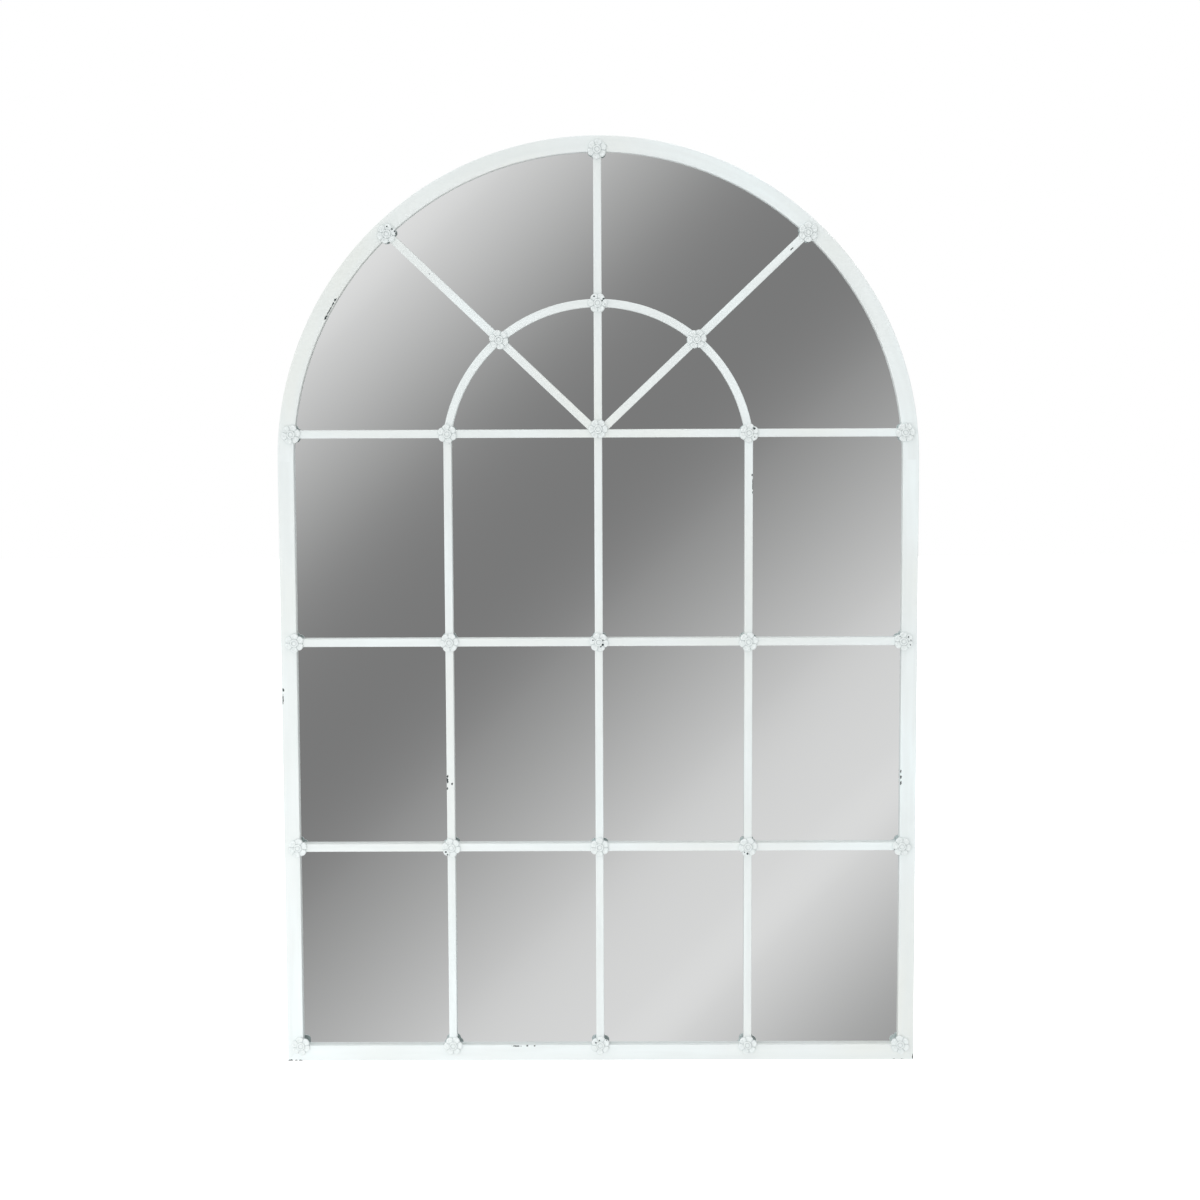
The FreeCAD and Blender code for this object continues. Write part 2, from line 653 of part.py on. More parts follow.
# each rosette was set by hand, so each is turned a little differently
ROW_TURNS = {
    "springline": (12, 38, 0, 24, 5),
    "upper": (28, 8, 50, 15, 33),
    "lower": (20, 45, 30, 10, 52),
    "rail": (40, 3, 25, 14, 35),
}

rosettes = []
for row, z in ROWS:
    for (column, x), turn in zip(COLUMNS, ROW_TURNS[row]):
        hub = row == "springline" and column == "centre"
        name = "rosette_hub" if hub else f"rosette_{row}_{column}"
        rosettes.append((name, x, f"{z} + sizes.hub_rise" if hub else z, turn))

ARCH_ROSETTE = along_spoke(f"{HALF_WIDTH} - sizes.rosette_inset", "sizes.arch_drop")
INNER_ROSETTE = along_spoke(INNER_ARCH_RADIUS, "sizes.inner_arch_drop")
for ring, reach, left_turn, right_turn in (("arch", ARCH_ROSETTE, 16, 30),
                                           ("inner_arch", INNER_ROSETTE, 44, 6)):
    for word, sign, turn in (("left", "-", left_turn), ("right", "", right_turn)):
        rosettes.append((f"rosette_{ring}_{word}", f"{sign}{reach} * cos(sizes.spoke_angle)",
                         f"{SPRING_Z} + {reach} * sin(sizes.spoke_angle)", turn))
rosettes.append(("rosette_arch_top", "0", f"{ARCH_Z} + {HALF_WIDTH} - sizes.rosette_inset", 22))
rosettes.append(("rosette_inner_arch_top", "0", f"{INNER_ARCH_Z} + {INNER_ARCH_RADIUS}", 0))

FACE_FRONT = FreeCAD.Rotation(X_AXIS, 90)
for name, x, z, turn in rosettes:
    copy = group(f"{name}_copy", rosette)
    place(copy, x, FRONT_Y, z, FACE_FRONT.multiply(FreeCAD.Rotation(Z_AXIS, turn)))
    keep(copy, name)

# ---------------------------------------------------------------------------
# Screws: one pattern, head outwards (+Y), seated at its own origin
# ---------------------------------------------------------------------------

shank = rod_y("screw_shank", "0", "-sizes.screw_length", "0", "sizes.screw_radius",
              "sizes.screw_length + sizes.head_height / 2")
head = doc.addObject("Part::Cone", "screw_head")
bind(head, Radius1="sizes.head_radius", Radius2="sizes.head_top_radius",
     Height="sizes.head_height")
place(head, rotation=FreeCAD.Rotation(X_AXIS, -90))
slot = box("screw_slot", "-sizes.head_radius", "sizes.head_height - sizes.slot_depth",
           "-sizes.slot_width / 2", "2 * sizes.head_radius", "sizes.slot_depth",
           "sizes.slot_width")
screw = cut("screw_master", fuse("screw_blank", shank, head), slot)


SLOT_STEP = 37                       # degrees between one screw's slot and the next one's


def screws_at(label, seat_y, places):
    """One node that holds a copy of the screw at every place."""
    copies = []
    for index, (name, x, z) in enumerate(places):
        copy = group(f"{label}_{name}", screw)
        slot_turn = FreeCAD.Rotation(Y_AXIS, SLOT_STEP * index)
        copies.append(place(copy, x, seat_y, z, slot_turn))
    keep(group(f"{label}_set", *copies), label)


BUTTON_SEAT = f"({BACK_Y} + sizes.button_thickness + 2 * sizes.running_gap)"
screws_at("turn_button_screws", BUTTON_SEAT, [(name, x, z) for name, x, z, _ in BUTTONS])
screws_at("hanger_screws", f"({BACK_Y} + sizes.strap_thickness)", HANGER_SCREWS)

# ---------------------------------------------------------------------------
# Turn buttons: round-ended plates on their screws, pointing over the board
# ---------------------------------------------------------------------------

END_RADIUS = "(sizes.button_width / 2)"
round_end = rod_y("button_round_end", "sizes.button_reach", "0", "0", END_RADIUS,
                  "sizes.button_thickness")
pivot_end = rod_y("button_pivot_end", "0", "0", "0", END_RADIUS, "sizes.button_thickness")
web = box("button_web", "0", "0", f"-{END_RADIUS}", "sizes.button_reach",
          "sizes.button_thickness", "sizes.button_width")
pivot_hole = rod_y("button_pivot_hole", "0", "0", "0",
                   "sizes.screw_radius + sizes.pivot_clearance", "sizes.button_thickness")
button = cut("button_master", fuse("button_plate", round_end, pivot_end, web), pivot_hole)

for name, x, z, pointing in BUTTONS:
    copy = group(f"turn_button_{name}_copy", button)
    copy.Placement = FreeCAD.Placement(FreeCAD.Vector(), FreeCAD.Rotation(Y_AXIS, 1))
    bind(copy, Placement__Rotation__Angle=pointing, Placement__Base__x=x,
         Placement__Base__y=f"{BACK_Y} + sizes.running_gap", Placement__Base__z=z)
    keep(copy, f"turn_button_{name}")

# ---------------------------------------------------------------------------
# Ring hangers: a strap with an eye at its top, and a wire ring that hangs in the eye
# ---------------------------------------------------------------------------

EYE_INSIDE = "(sizes.wire_radius + sizes.pivot_clearance)"
EYE_OUTSIDE = f"({EYE_INSIDE} + sizes.strap_thickness)"
EYE_Y = f"({EYE_OUTSIDE} + sizes.strap_lift)"


def rod_x(name, y, z, radius, half_length):
    """A cylinder along X, centred on the YZ plane."""
    item = doc.addObject("Part::Cylinder", name)
    bind(item, Radius=radius, Height=f"2 * {half_length}")
    return place(item, f"-{half_length}", y, z, FreeCAD.Rotation(Y_AXIS, 90))


plate = box("strap_plate", "-sizes.strap_width / 2", "0", "-sizes.strap_length",
            "sizes.strap_width", "sizes.strap_thickness", "sizes.strap_length")
barrel = rod_x("strap_barrel", EYE_Y, "0", EYE_OUTSIDE, "(sizes.strap_width / 2)")
eye_hole = rod_x("strap_eye_hole", EYE_Y, "0", EYE_INSIDE, "sizes.strap_width")
strap_holes = [rod_y(f"strap_hole_{index}", "0", "0",
                     f"-(sizes.strap_hole_first + {index} * sizes.strap_hole_pitch)",
                     HOLE_RADIUS, "sizes.strap_thickness") for index in range(2)]
strap = cut("strap_master", fuse("strap_blank", plate, barrel), eye_hole, *strap_holes)

pivot_rod = rod_x("ring_pivot", "0", "0", "sizes.wire_radius", "sizes.ring_half_width")
bow = doc.addObject("Part::Torus", "ring_bow")
bind(bow, Radius1="sizes.ring_half_width", Radius2="sizes.wire_radius")
bow.Angle3 = 180
place(bow, z="-sizes.ring_leg", rotation=FreeCAD.Rotation(X_AXIS, -90))
ring_parts = [pivot_rod, bow]
for sign in ("-", ""):
    word = "left" if sign else "right"
    leg = doc.addObject("Part::Cylinder", f"ring_{word}_leg")
    bind(leg, Radius="sizes.wire_radius", Height="sizes.ring_leg")
    place(leg, x=f"{sign}sizes.ring_half_width", z="-sizes.ring_leg")
    corner = doc.addObject("Part::Sphere", f"ring_{word}_corner")
    bind(corner, Radius="sizes.wire_radius")
    place(corner, x=f"{sign}sizes.ring_half_width")
    ring_parts += [leg, corner]
ring = fuse("ring_master", *ring_parts)

for sign, word in (("-", "left"), ("", "right")):
    strap_copy = group(f"{word}_strap_copy", strap)
    place(strap_copy, f"{sign}{HANGER_X}", BACK_Y, HANGER_Z)
    keep(strap_copy, f"{word}_hanger_strap")
    ring_copy = group(f"{word}_ring_copy", ring)
    place(ring_copy, f"{sign}{HANGER_X}", f"{BACK_Y} + {EYE_Y}", HANGER_Z)
    keep(ring_copy, f"{word}_hanger_ring")

# ---------------------------------------------------------------------------
# Rubber bumpers between the frame and the wall
# ---------------------------------------------------------------------------

bumpers = []
for sign, word in (("-", "left"), ("", "right")):
    bumpers.append(rod_y(f"bumper_low_{word}", f"{sign}{REAR_MIDDLE}", BACK_Y,
                         "sizes.bumper_height", "sizes.bumper_radius", "sizes.bumper_thickness"))
    bumpers.append(rod_y(f"bumper_high_{word}",
                         f"{sign}{REAR_MIDDLE} * cos(sizes.bumper_arch_angle)", BACK_Y,
                         f"{ARCH_Z} + {REAR_MIDDLE} * sin(sizes.bumper_arch_angle)",
                         "sizes.bumper_radius", "sizes.bumper_thickness"))
keep(group("bumper_set", *bumpers), "wall_bumpers")

# ---------------------------------------------------------------------------
# Check every object, then write the sub-parts
# ---------------------------------------------------------------------------

doc.recompute()

for item in doc.Objects:
    if "Invalid" in item.State or "Error" in item.State:
        raise RuntimeError(f"{item.Name} ({item.Label}) failed to recompute")
for item in subparts:
    if item.Shape.isNull() or not item.Shape.isValid() or item.Shape.Volume <= 0:
        raise RuntimeError(f"{item.Label} has no valid solid")

os.makedirs("parts", exist_ok=True)
for item in subparts:
    item.Shape.exportStep(f"parts/{item.Label}.step")

whole = FreeCAD.BoundBox()
for item in subparts:
    whole.add(item.Shape.optimalBoundingBox(False, False))
    print(f"{item.Label:34s} {len(item.Shape.Solids):2d} solid(s) {item.Shape.Volume:12.1f} mm3")
print(f"{len(subparts)} sub-parts, {whole.XLength:.2f} x {whole.YLength:.2f} x {whole.ZLength:.2f} mm")
print(f"x {whole.XMin:.2f} {whole.XMax:.2f}  y {whole.YMin:.2f} {whole.YMax:.2f}  "
      f"z {whole.ZMin:.2f} {whole.ZMax:.2f}")
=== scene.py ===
# %% [markdown]
# # An arched window mirror
#
# The real object is a welded steel window: a round-headed outer frame, glazing bars that
# divide it into panes, a cast rosette on every crossing, and one sheet of mirror glass behind
# it all.  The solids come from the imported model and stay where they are.  This file gives them
# their finishes, sculpts the rosettes, lays the glass and sets up a plain studio.

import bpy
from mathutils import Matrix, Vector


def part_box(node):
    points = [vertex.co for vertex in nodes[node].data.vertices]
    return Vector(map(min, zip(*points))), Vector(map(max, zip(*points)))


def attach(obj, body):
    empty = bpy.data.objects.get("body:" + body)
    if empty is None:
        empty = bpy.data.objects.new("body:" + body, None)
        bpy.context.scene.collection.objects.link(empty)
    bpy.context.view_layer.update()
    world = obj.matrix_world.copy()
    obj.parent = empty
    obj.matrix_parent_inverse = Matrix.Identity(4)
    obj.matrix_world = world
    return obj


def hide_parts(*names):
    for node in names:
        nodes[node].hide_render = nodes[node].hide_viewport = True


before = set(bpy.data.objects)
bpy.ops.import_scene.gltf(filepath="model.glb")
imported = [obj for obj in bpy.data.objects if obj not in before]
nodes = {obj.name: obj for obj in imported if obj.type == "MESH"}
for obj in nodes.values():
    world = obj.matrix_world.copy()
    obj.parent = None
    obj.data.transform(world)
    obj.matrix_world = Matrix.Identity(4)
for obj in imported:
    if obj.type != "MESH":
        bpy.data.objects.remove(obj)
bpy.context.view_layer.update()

# %% [markdown]
# ## Sizes that the finishes need
#
# A finish that follows an arch has to know where the arch's centre is.  These places could be
# typed in again, but reading them from the solids keeps the two in step: the outer arch is a
# half ring, so its lowest point is its centre's height, and its width gives its radius.

# %% Read the main sizes
import bpy
import math
import random
import numpy as np
from mathutils import Matrix, Vector

arch_low, arch_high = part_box("outer_arch")
arch_centre = Vector((0.0, 0.0, arch_low.z))
arch_radius = (arch_high.x - arch_low.x) / 2
front_y = arch_low.y
glass_low, glass_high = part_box("mirror_glass")
_, inner_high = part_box("inner_arch")
bar_low, bar_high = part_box("springline_bar")
spring_z = (bar_low.z + bar_high.z) / 2
inner_arch_drop = 0.036                      # its centre lies this far below the springline bar
inner_arch_centre = Vector((0.0, 0.0, spring_z - inner_arch_drop))
spoke_lean = 43.5                            # degrees above level
print(f"arch centre {arch_centre.z:.4f}, radius {arch_radius:.4f}, springline {spring_z:.4f}")

# %% [markdown]
# ## The camera
#
# The photograph was taken from a little above the middle, almost straight on.  A long lens a
# few metres away gives the same slight narrowing towards the floor.  The position and the three
# turns were found by matching the rosettes, so no lens shift is needed.

# %% Place the camera
camera_place = Vector((0.0170, -3.60625, 1.0954))
left_degrees, down_degrees, roll_degrees = 0.2380, 5.6455, -0.2120
camera_data = bpy.data.cameras.new("studio_camera")
camera_data.lens = 69.264
camera_data.sensor_width = 36.0
camera_data.clip_end = 60.0
camera = bpy.data.objects.new("studio_camera", camera_data)
bpy.context.scene.collection.objects.link(camera)
bpy.context.scene.camera = camera
turn_left = Matrix.Rotation(math.radians(left_degrees), 4, "Z")
tip_down = Matrix.Rotation(math.radians(90.0 - down_degrees), 4, "X")
roll = Matrix.Rotation(math.radians(roll_degrees), 4, "Z")
camera.matrix_world = Matrix.Translation(camera_place) @ turn_left @ tip_down @ roll
print("camera at", tuple(round(c, 3) for c in camera.matrix_world.translation))

# %% [markdown]
# ## Helpers for node trees
#
# Every finish below is a node tree.  Adding a node takes one line for the node, one for each
# setting and one for each link, so a small helper does all three: a socket is given either a
# plain value or the output of another node.  The other helpers stand for the steps that nearly
# every finish takes: a sum, a mix of two colours, a noise, a change of range and a bump.


# %% Add nodes to a tree
def add_node(tree, kind, sockets=None, **settings):
    """Add a node; each socket takes a value or another node's output."""
    node = tree.nodes.new(kind)
    for name, setting in settings.items():
        setattr(node, name, setting)
    for name, value in (sockets or {}).items():
        if isinstance(value, bpy.types.NodeSocket):
            tree.links.new(value, node.inputs[name])
        else:
            node.inputs[name].default_value = value
    return node


def grey(level):
    """A grey as an opaque colour."""
    return (level, level, level, 1.0)


def fill_ramp(ramp, stops):
    """Set a colour ramp's stops from (position, grey level) pairs."""
    elements = ramp.color_ramp.elements
    while len(elements) > 1:
        elements.remove(elements[-1])
    for index, (position, level) in enumerate(stops):
        element = elements[0] if index == 0 else elements.new(position)
        element.position = position
        element.color = grey(level)


def maths(tree, operation, *values, clamp=False):
    """One maths node's result."""
    node = add_node(tree, "ShaderNodeMath", operation=operation, use_clamp=clamp)
    for socket, value in zip(node.inputs, values):
        if isinstance(value, bpy.types.NodeSocket):
            tree.links.new(value, socket)
        else:
            socket.default_value = value
    return node.outputs[0]


def blend_colours(tree, share, first, second):
    """Mix two colours by a share."""
    node = add_node(tree, "ShaderNodeMix", data_type="RGBA")
    for index, value in ((0, share), (6, first), (7, second)):
        if isinstance(value, bpy.types.NodeSocket):
            tree.links.new(value, node.inputs[index])
        else:
            node.inputs[index].default_value = value
    return node.outputs[2]


def noise(tree, place, scale, detail, roughness=0.5):
    """One noise texture's value."""
    return add_node(tree, "ShaderNodeTexNoise", {
        "Vector": place, "Scale": scale, "Detail": detail,
        "Roughness": roughness}).outputs["Fac"]


def spread(tree, value, low, high, start=0.0, end=1.0):
    """Map a value between low and high to one between start and end."""
    return add_node(tree, "ShaderNodeMapRange", {
        "Value": value, "From Min": low, "From Max": high,
        "To Min": start, "To Max": end}).outputs["Result"]


def new_finish(name):
    """A new material, its node tree and its shader."""
    finish = bpy.data.materials.new(name)
    finish.use_nodes = True
    return finish, finish.node_tree, finish.node_tree.nodes["Principled BSDF"]


def add_bump(tree, shader, height, strength, distance):
    """Let a height tilt the shader's normals; the distance is in metres."""
    bump = add_node(tree, "ShaderNodeBump", {
        "Strength": strength, "Distance": distance, "Height": height})
    tree.links.new(bump.outputs["Normal"], shader.inputs["Normal"])


print("node helpers ready")

# %% [markdown]
# ## The studio
#
# A mirror shows the room, so the room is half of its look.  In the photograph the glass runs
# from light at the top left, through a dark band, to light at the bottom right.  A painted
# gradient on the glass would be simple, but it would be wrong as soon as the mirror moved.
# Here the room itself has the gradient: the world is a soft band of greys, laid out by
# direction, for rays that come off the glass, under a bright ceiling that the camera never
# meets in the mirror.  The camera sees plain white behind the object.  The light that falls on
# the paint is pale grey, and stronger from the left and from above.

# %% Build the world
band_slope = math.radians(46.0)              # the band runs from lower left to upper right
band_start, band_end = -0.30, 0.50           # how far across the band its greys begin and end
band_greys = ((0.00, 0.80), (0.215, 0.915), (0.262, 0.835), (0.335, 0.593), (0.405, 0.493),
              (0.470, 0.581), (0.560, 0.794), (0.625, 0.874), (0.655, 0.857), (0.715, 0.683),
              (0.78, 0.60), (1.00, 0.72))
ceiling_start, ceiling_full = 0.42, 0.75     # as the sine of the height above level
ceiling_level = 1.25
fill_low, fill_high = 0.24, 1.12             # light on the paint, from the dim and bright side
bright_side = (-0.66, 0.0, 0.75)
world = bpy.data.worlds.new("studio")
bpy.context.scene.world = world
world.use_nodes = True
room = world.node_tree
room.nodes.clear()
direction = add_node(room, "ShaderNodeTexCoord").outputs["Generated"]
across_band = add_node(room, "ShaderNodeVectorMath", {0: direction, 1: (
    math.cos(band_slope), 0.0, -math.sin(band_slope))}, operation="DOT_PRODUCT").outputs["Value"]
band_place = add_node(room, "ShaderNodeMapRange", {
    "Value": across_band, "From Min": band_start, "From Max": band_end}).outputs["Result"]
greys = add_node(room, "ShaderNodeValToRGB", {"Fac": band_place})
greys.color_ramp.interpolation = "CARDINAL"
fill_ramp(greys, band_greys)
band_light = add_node(room, "ShaderNodeGamma", {"Color": greys.outputs["Color"], "Gamma": 2.2})
upward = add_node(room, "ShaderNodeSeparateXYZ", {0: direction}).outputs["Z"]
ceiling_share = add_node(room, "ShaderNodeMapRange", {
    "Value": upward, "From Min": ceiling_start, "From Max": ceiling_full},
    interpolation_type="SMOOTHSTEP")
room_light = blend_colours(room, ceiling_share.outputs["Result"], band_light.outputs["Color"],
                           grey(ceiling_level))
rays = add_node(room, "ShaderNodeLightPath").outputs
seen_in_glass = maths(room, "MAXIMUM", rays["Is Glossy Ray"], rays["Is Transmission Ray"])
towards_bright = add_node(room, "ShaderNodeVectorMath", {0: direction, 1: bright_side},
                          operation="DOT_PRODUCT").outputs["Value"]
soft_fill = blend_colours(room, spread(room, towards_bright, -1.0, 1.0), grey(fill_low),
                          grey(fill_high))
reflected = blend_colours(room, seen_in_glass, soft_fill, room_light)
shown = blend_colours(room, rays["Is Camera Ray"], reflected, grey(1.0))
background = add_node(room, "ShaderNodeBackground", {"Color": shown, "Strength": 1.0})
add_node(room, "ShaderNodeOutputWorld", {"Surface": background.outputs["Background"]})
print("world with", len(band_greys), "greys")

# %% [markdown]
# ## Lamps
#
# White paint on white needs light from one side, or its roundings disappear.  One wide soft
# lamp stands high and far round to the left, and the world is brighter on that side too, so the
# sides of the bars that face right go grey, and those that face left or up stay bright.  A second
# one stands low and near the left corner, which it brightens as in the photograph.  A third one
# evens out the right half from the front.  These two are kept out of reflections, because they
# stand low enough to be seen in the glass as hard squares.  The last two light the tops of the
# bars and the back of the mirror.


# %% Hang the lamps
def hang_lamp(name, place, aim, width, watts, mirrored=True):
    """A square soft lamp that faces a point."""
    data = bpy.data.lights.new(name, "AREA")
    data.size = width
    data.energy = watts
    lamp = bpy.data.objects.new(name, data)
    lamp.location = place
    lamp.rotation_mode = "QUATERNION"
    lamp.rotation_quaternion = (Vector(aim) - Vector(place)).to_track_quat("-Z", "Y")
    lamp.visible_glossy = lamp.visible_transmission = mirrored
    bpy.context.scene.collection.objects.link(lamp)


hang_lamp("left_softbox", (-4.2, -2.3, 3.0), (0.0, 0.0, 0.5), 2.6, 12.0)
hang_lamp("low_softbox", (-0.9, -1.2, 0.0), (-0.4, 0.0, 0.2), 0.7, 3.9, mirrored=False)
hang_lamp("front_softbox", (2.2, -3.2, 1.4), (0.1, 0.0, 0.7), 1.6, 12.0, mirrored=False)
hang_lamp("overhead_softbox", (0.3, -0.9, 5.2), (0.0, 0.0, 0.8), 2.2, 28.0)
hang_lamp("rear_softbox", (1.8, 3.6, 3.4), (0.0, 0.0, 0.7), 2.4, 110.0)
print("5 lamps")

# %% [markdown]
# ## Floor
#
# The mirror hangs, so the floor lies a little way below it.  It is a plain pale sheet that
# keeps the object's soft shadow.  A mirror would also show it as a hard line, so it is hidden
# from reflected rays, and the glass sees the room's even gradient instead.

# %% Lay the floor
floor_drop = 0.32
floor_half = 14.0
paper_level = 0.86
shadow_edge, plain_edge = 1.2, 4.0           # the floor glows fully where no shadow falls
floor_mesh = bpy.data.meshes.new("studio_floor")
floor_mesh.from_pydata([(x * floor_half, y * floor_half, -floor_drop)
                        for x, y in ((-1, -1), (1, -1), (1, 1), (-1, 1))], [], [(0, 1, 2, 3)])
floor = bpy.data.objects.new("studio_floor", floor_mesh)
bpy.context.scene.collection.objects.link(floor)
floor_finish = bpy.data.materials.new("studio_floor")
floor_finish.use_nodes = True
paper = floor_finish.node_tree
paper.nodes.clear()
matt = add_node(paper, "ShaderNodeBsdfDiffuse", {"Color": grey(paper_level)})
camera_ray = add_node(paper, "ShaderNodeLightPath").outputs["Is Camera Ray"]
spot = add_node(paper, "ShaderNodeTexCoord").outputs["Object"]
away = add_node(paper, "ShaderNodeVectorMath", {0: spot}, operation="LENGTH").outputs["Value"]
top_up = spread(paper, away, shadow_edge, plain_edge, 0.45, 1.0)
lift = add_node(paper, "ShaderNodeEmission", {
    "Color": grey(1.0), "Strength": maths(paper, "MULTIPLY", camera_ray, top_up)})
both = add_node(paper, "ShaderNodeAddShader")
paper.links.new(matt.outputs[0], both.inputs[0])
paper.links.new(lift.outputs[0], both.inputs[1])
add_node(paper, "ShaderNodeOutputMaterial", {"Surface": both.outputs[0]})
floor_mesh.materials.append(floor_finish)
floor.visible_glossy = False
floor.visible_transmission = False
print("floor", floor_drop, "m below the mirror")

# %% [markdown]
# ## Brushed white paint
#
# The frame is steel with an antique white brush paint: cool and almost even, with faint streaks
# along each member, because the brush was pulled along it.  One noise texture on all members
# would lose that, so each direction gets its own coordinates: along, across and depth.  On an
# arch, "along" is the angle round its centre times the radius.


# %% Coordinates along a straight or curved member
def straight_run(tree, lean):
    """Object coordinates turned so that X runs along a member that leans by an angle."""
    place = add_node(tree, "ShaderNodeTexCoord").outputs["Object"]
    turned = add_node(tree, "ShaderNodeMapping", {
        "Vector": place, "Rotation": (0.0, lean, 0.0)}, vector_type="POINT")
    return turned.outputs["Vector"]


def curved_run(tree, centre, radius):
    """X runs round an arch, Z is the distance from its centre."""
    place = add_node(tree, "ShaderNodeTexCoord").outputs["Object"]
    from_centre = add_node(tree, "ShaderNodeVectorMath", {0: place, 1: tuple(centre)},
                           operation="SUBTRACT").outputs["Vector"]
    parts = add_node(tree, "ShaderNodeSeparateXYZ", {0: from_centre}).outputs
    angle = maths(tree, "ARCTAN2", parts["Z"], parts["X"])
    flat = add_node(tree, "ShaderNodeCombineXYZ", {"X": parts["X"], "Z": parts["Z"]})
    reach = add_node(tree, "ShaderNodeVectorMath", {0: flat.outputs[0]},
                     operation="LENGTH").outputs["Value"]
    along = maths(tree, "MULTIPLY", angle, radius)
    return add_node(tree, "ShaderNodeCombineXYZ",
                    {"X": along, "Y": parts["Y"], "Z": reach}).outputs[0]


print("member coordinates ready")

# %% [markdown]
# ## Where the paint has come off
#
# The real frame has been knocked: small flakes of paint are missing along some edges, and the
# dark metal shows.  Flakes could be drawn one by one as meshes, but paint has almost no
# thickness, so a mask is enough.  Each knock is a stretched spot.  Its edge is broken up with
# fine noise, which gives the ragged islands that real flakes leave.  A spot reaches only a few
# millimetres behind the front face, so the sides and the rear frame keep their paint.

# %% List the knocks on the frame
# x and z of the middle in metres, half length along the lean, half width, lean in degrees
FRAME_KNOCKS = (
    (-0.4062, 1.2078, 0.0026, 0.0011, 58.5),
    (-0.4096, 1.2017, 0.0024, 0.0010, 60.0),
    (-0.4152, 1.1918, 0.0090, 0.0008, 60.0),
    (-0.4208, 1.1812, 0.0036, 0.0013, 62.0),
    (0.4715, 1.1290, 0.0070, 0.0012, -66.0),
    (0.4775, 1.1150, 0.0040, 0.0010, -66.0),
    (0.2402, 0.9340, 0.0018, 0.0013, 90.0),
    (0.2408, 0.9190, 0.0110, 0.0006, 90.0),
    (-0.4968, 0.5985, 0.0022, 0.0013, 90.0),
    (-0.4976, 0.5840, 0.0070, 0.0008, 90.0),
    (-0.2400, 0.4600, 0.0018, 0.0012, 90.0),
    (-0.2400, 0.4535, 0.0030, 0.0013, 90.0),
    (-0.2330, 0.4480, 0.0014, 0.0012, 90.0),
    (-0.2402, 0.4410, 0.0022, 0.0010, 90.0),
    (0.4755, 0.4655, 0.0020, 0.0013, 90.0),
    (0.4758, 0.4570, 0.0026, 0.0014, 90.0),
    (0.4760, 0.4475, 0.0030, 0.0010, 90.0),
    (-0.1330, 0.0235, 0.0065, 0.0009, 0.0),
    (-0.1170, 0.0238, 0.0014, 0.0010, 0.0),
    (-0.1050, 0.0240, 0.0012, 0.0008, 0.0),
    (-0.4960, 0.0006, 0.0034, 0.0017, 0.0),
    (-0.4870, 0.0004, 0.0022, 0.0014, 0.0),
    (-0.4795, 0.0004, 0.0026, 0.0014, 0.0),
    (0.4690, 0.0004, 0.0016, 0.0009, 0.0),
    (0.4820, 0.0004, 0.0016, 0.0008, 0.0),
    (0.4992, 0.0040, 0.0040, 0.0010, 90.0),
)


FRAME_KNOCK_DEPTH = 0.0030                   # metres behind the front face
KNOCK_EDGE = 1.15                            # where a spot ends, in half widths
KNOCK_SHARPNESS = 8.0


def knock_mask(tree, knocks, depth=FRAME_KNOCK_DEPTH, raggedness=0.75):
    """1 where a knock has taken the paint off, down to a depth behind the front face."""
    place = add_node(tree, "ShaderNodeTexCoord").outputs["Object"]
    ragged = noise(tree, place, 520.0, 2.0, 0.6)
    wobble = maths(tree, "MULTIPLY", maths(tree, "SUBTRACT", ragged, 0.5), raggedness * 4.0)
    total = None
    for x, z, half_length, half_width, lean in knocks:
        local = add_node(tree, "ShaderNodeMapping", {
            "Vector": place, "Location": (x, front_y, z),
            "Rotation": (0.0, -math.radians(lean), 0.0),
            "Scale": (half_length, depth, half_width)}, vector_type="TEXTURE").outputs["Vector"]
        reach = add_node(tree, "ShaderNodeVectorMath", {0: local},
                         operation="LENGTH").outputs["Value"]
        worn = maths(tree, "SUBTRACT", KNOCK_EDGE, maths(tree, "ADD", reach, wobble))
        total = worn if total is None else maths(tree, "MAXIMUM", total, worn)
    return maths(tree, "MULTIPLY", total, KNOCK_SHARPNESS, clamp=True)


print(len(FRAME_KNOCKS), "knocks on the frame")

# %% [markdown]
# ## The painted finish itself
#
# The colour is a cool white that drifts a little: brushed streaks are a shade darker, and broad
# clouds are a shade warmer or a shade brighter and cooler, where the coat is thicker.  The shine
# drifts with the streaks too.  Streaks and a slight orange peel also go to the bump, which is
# what catches the light on the rounded edges.

# %% Mix the frame paint
PAINT = (0.800, 0.846, 0.843)
PAINT_SHADE = (0.745, 0.790, 0.785)
PAINT_WARM = (0.780, 0.812, 0.785)
PAINT_THICK = (0.830, 0.900, 0.905)
BARE_METAL = (0.060, 0.082, 0.085)
BARE_METAL_DARK = (0.035, 0.045, 0.045)
STREAKS_PER_METRE = (7.0, 80.0, 80.0)        # along, through and across a member


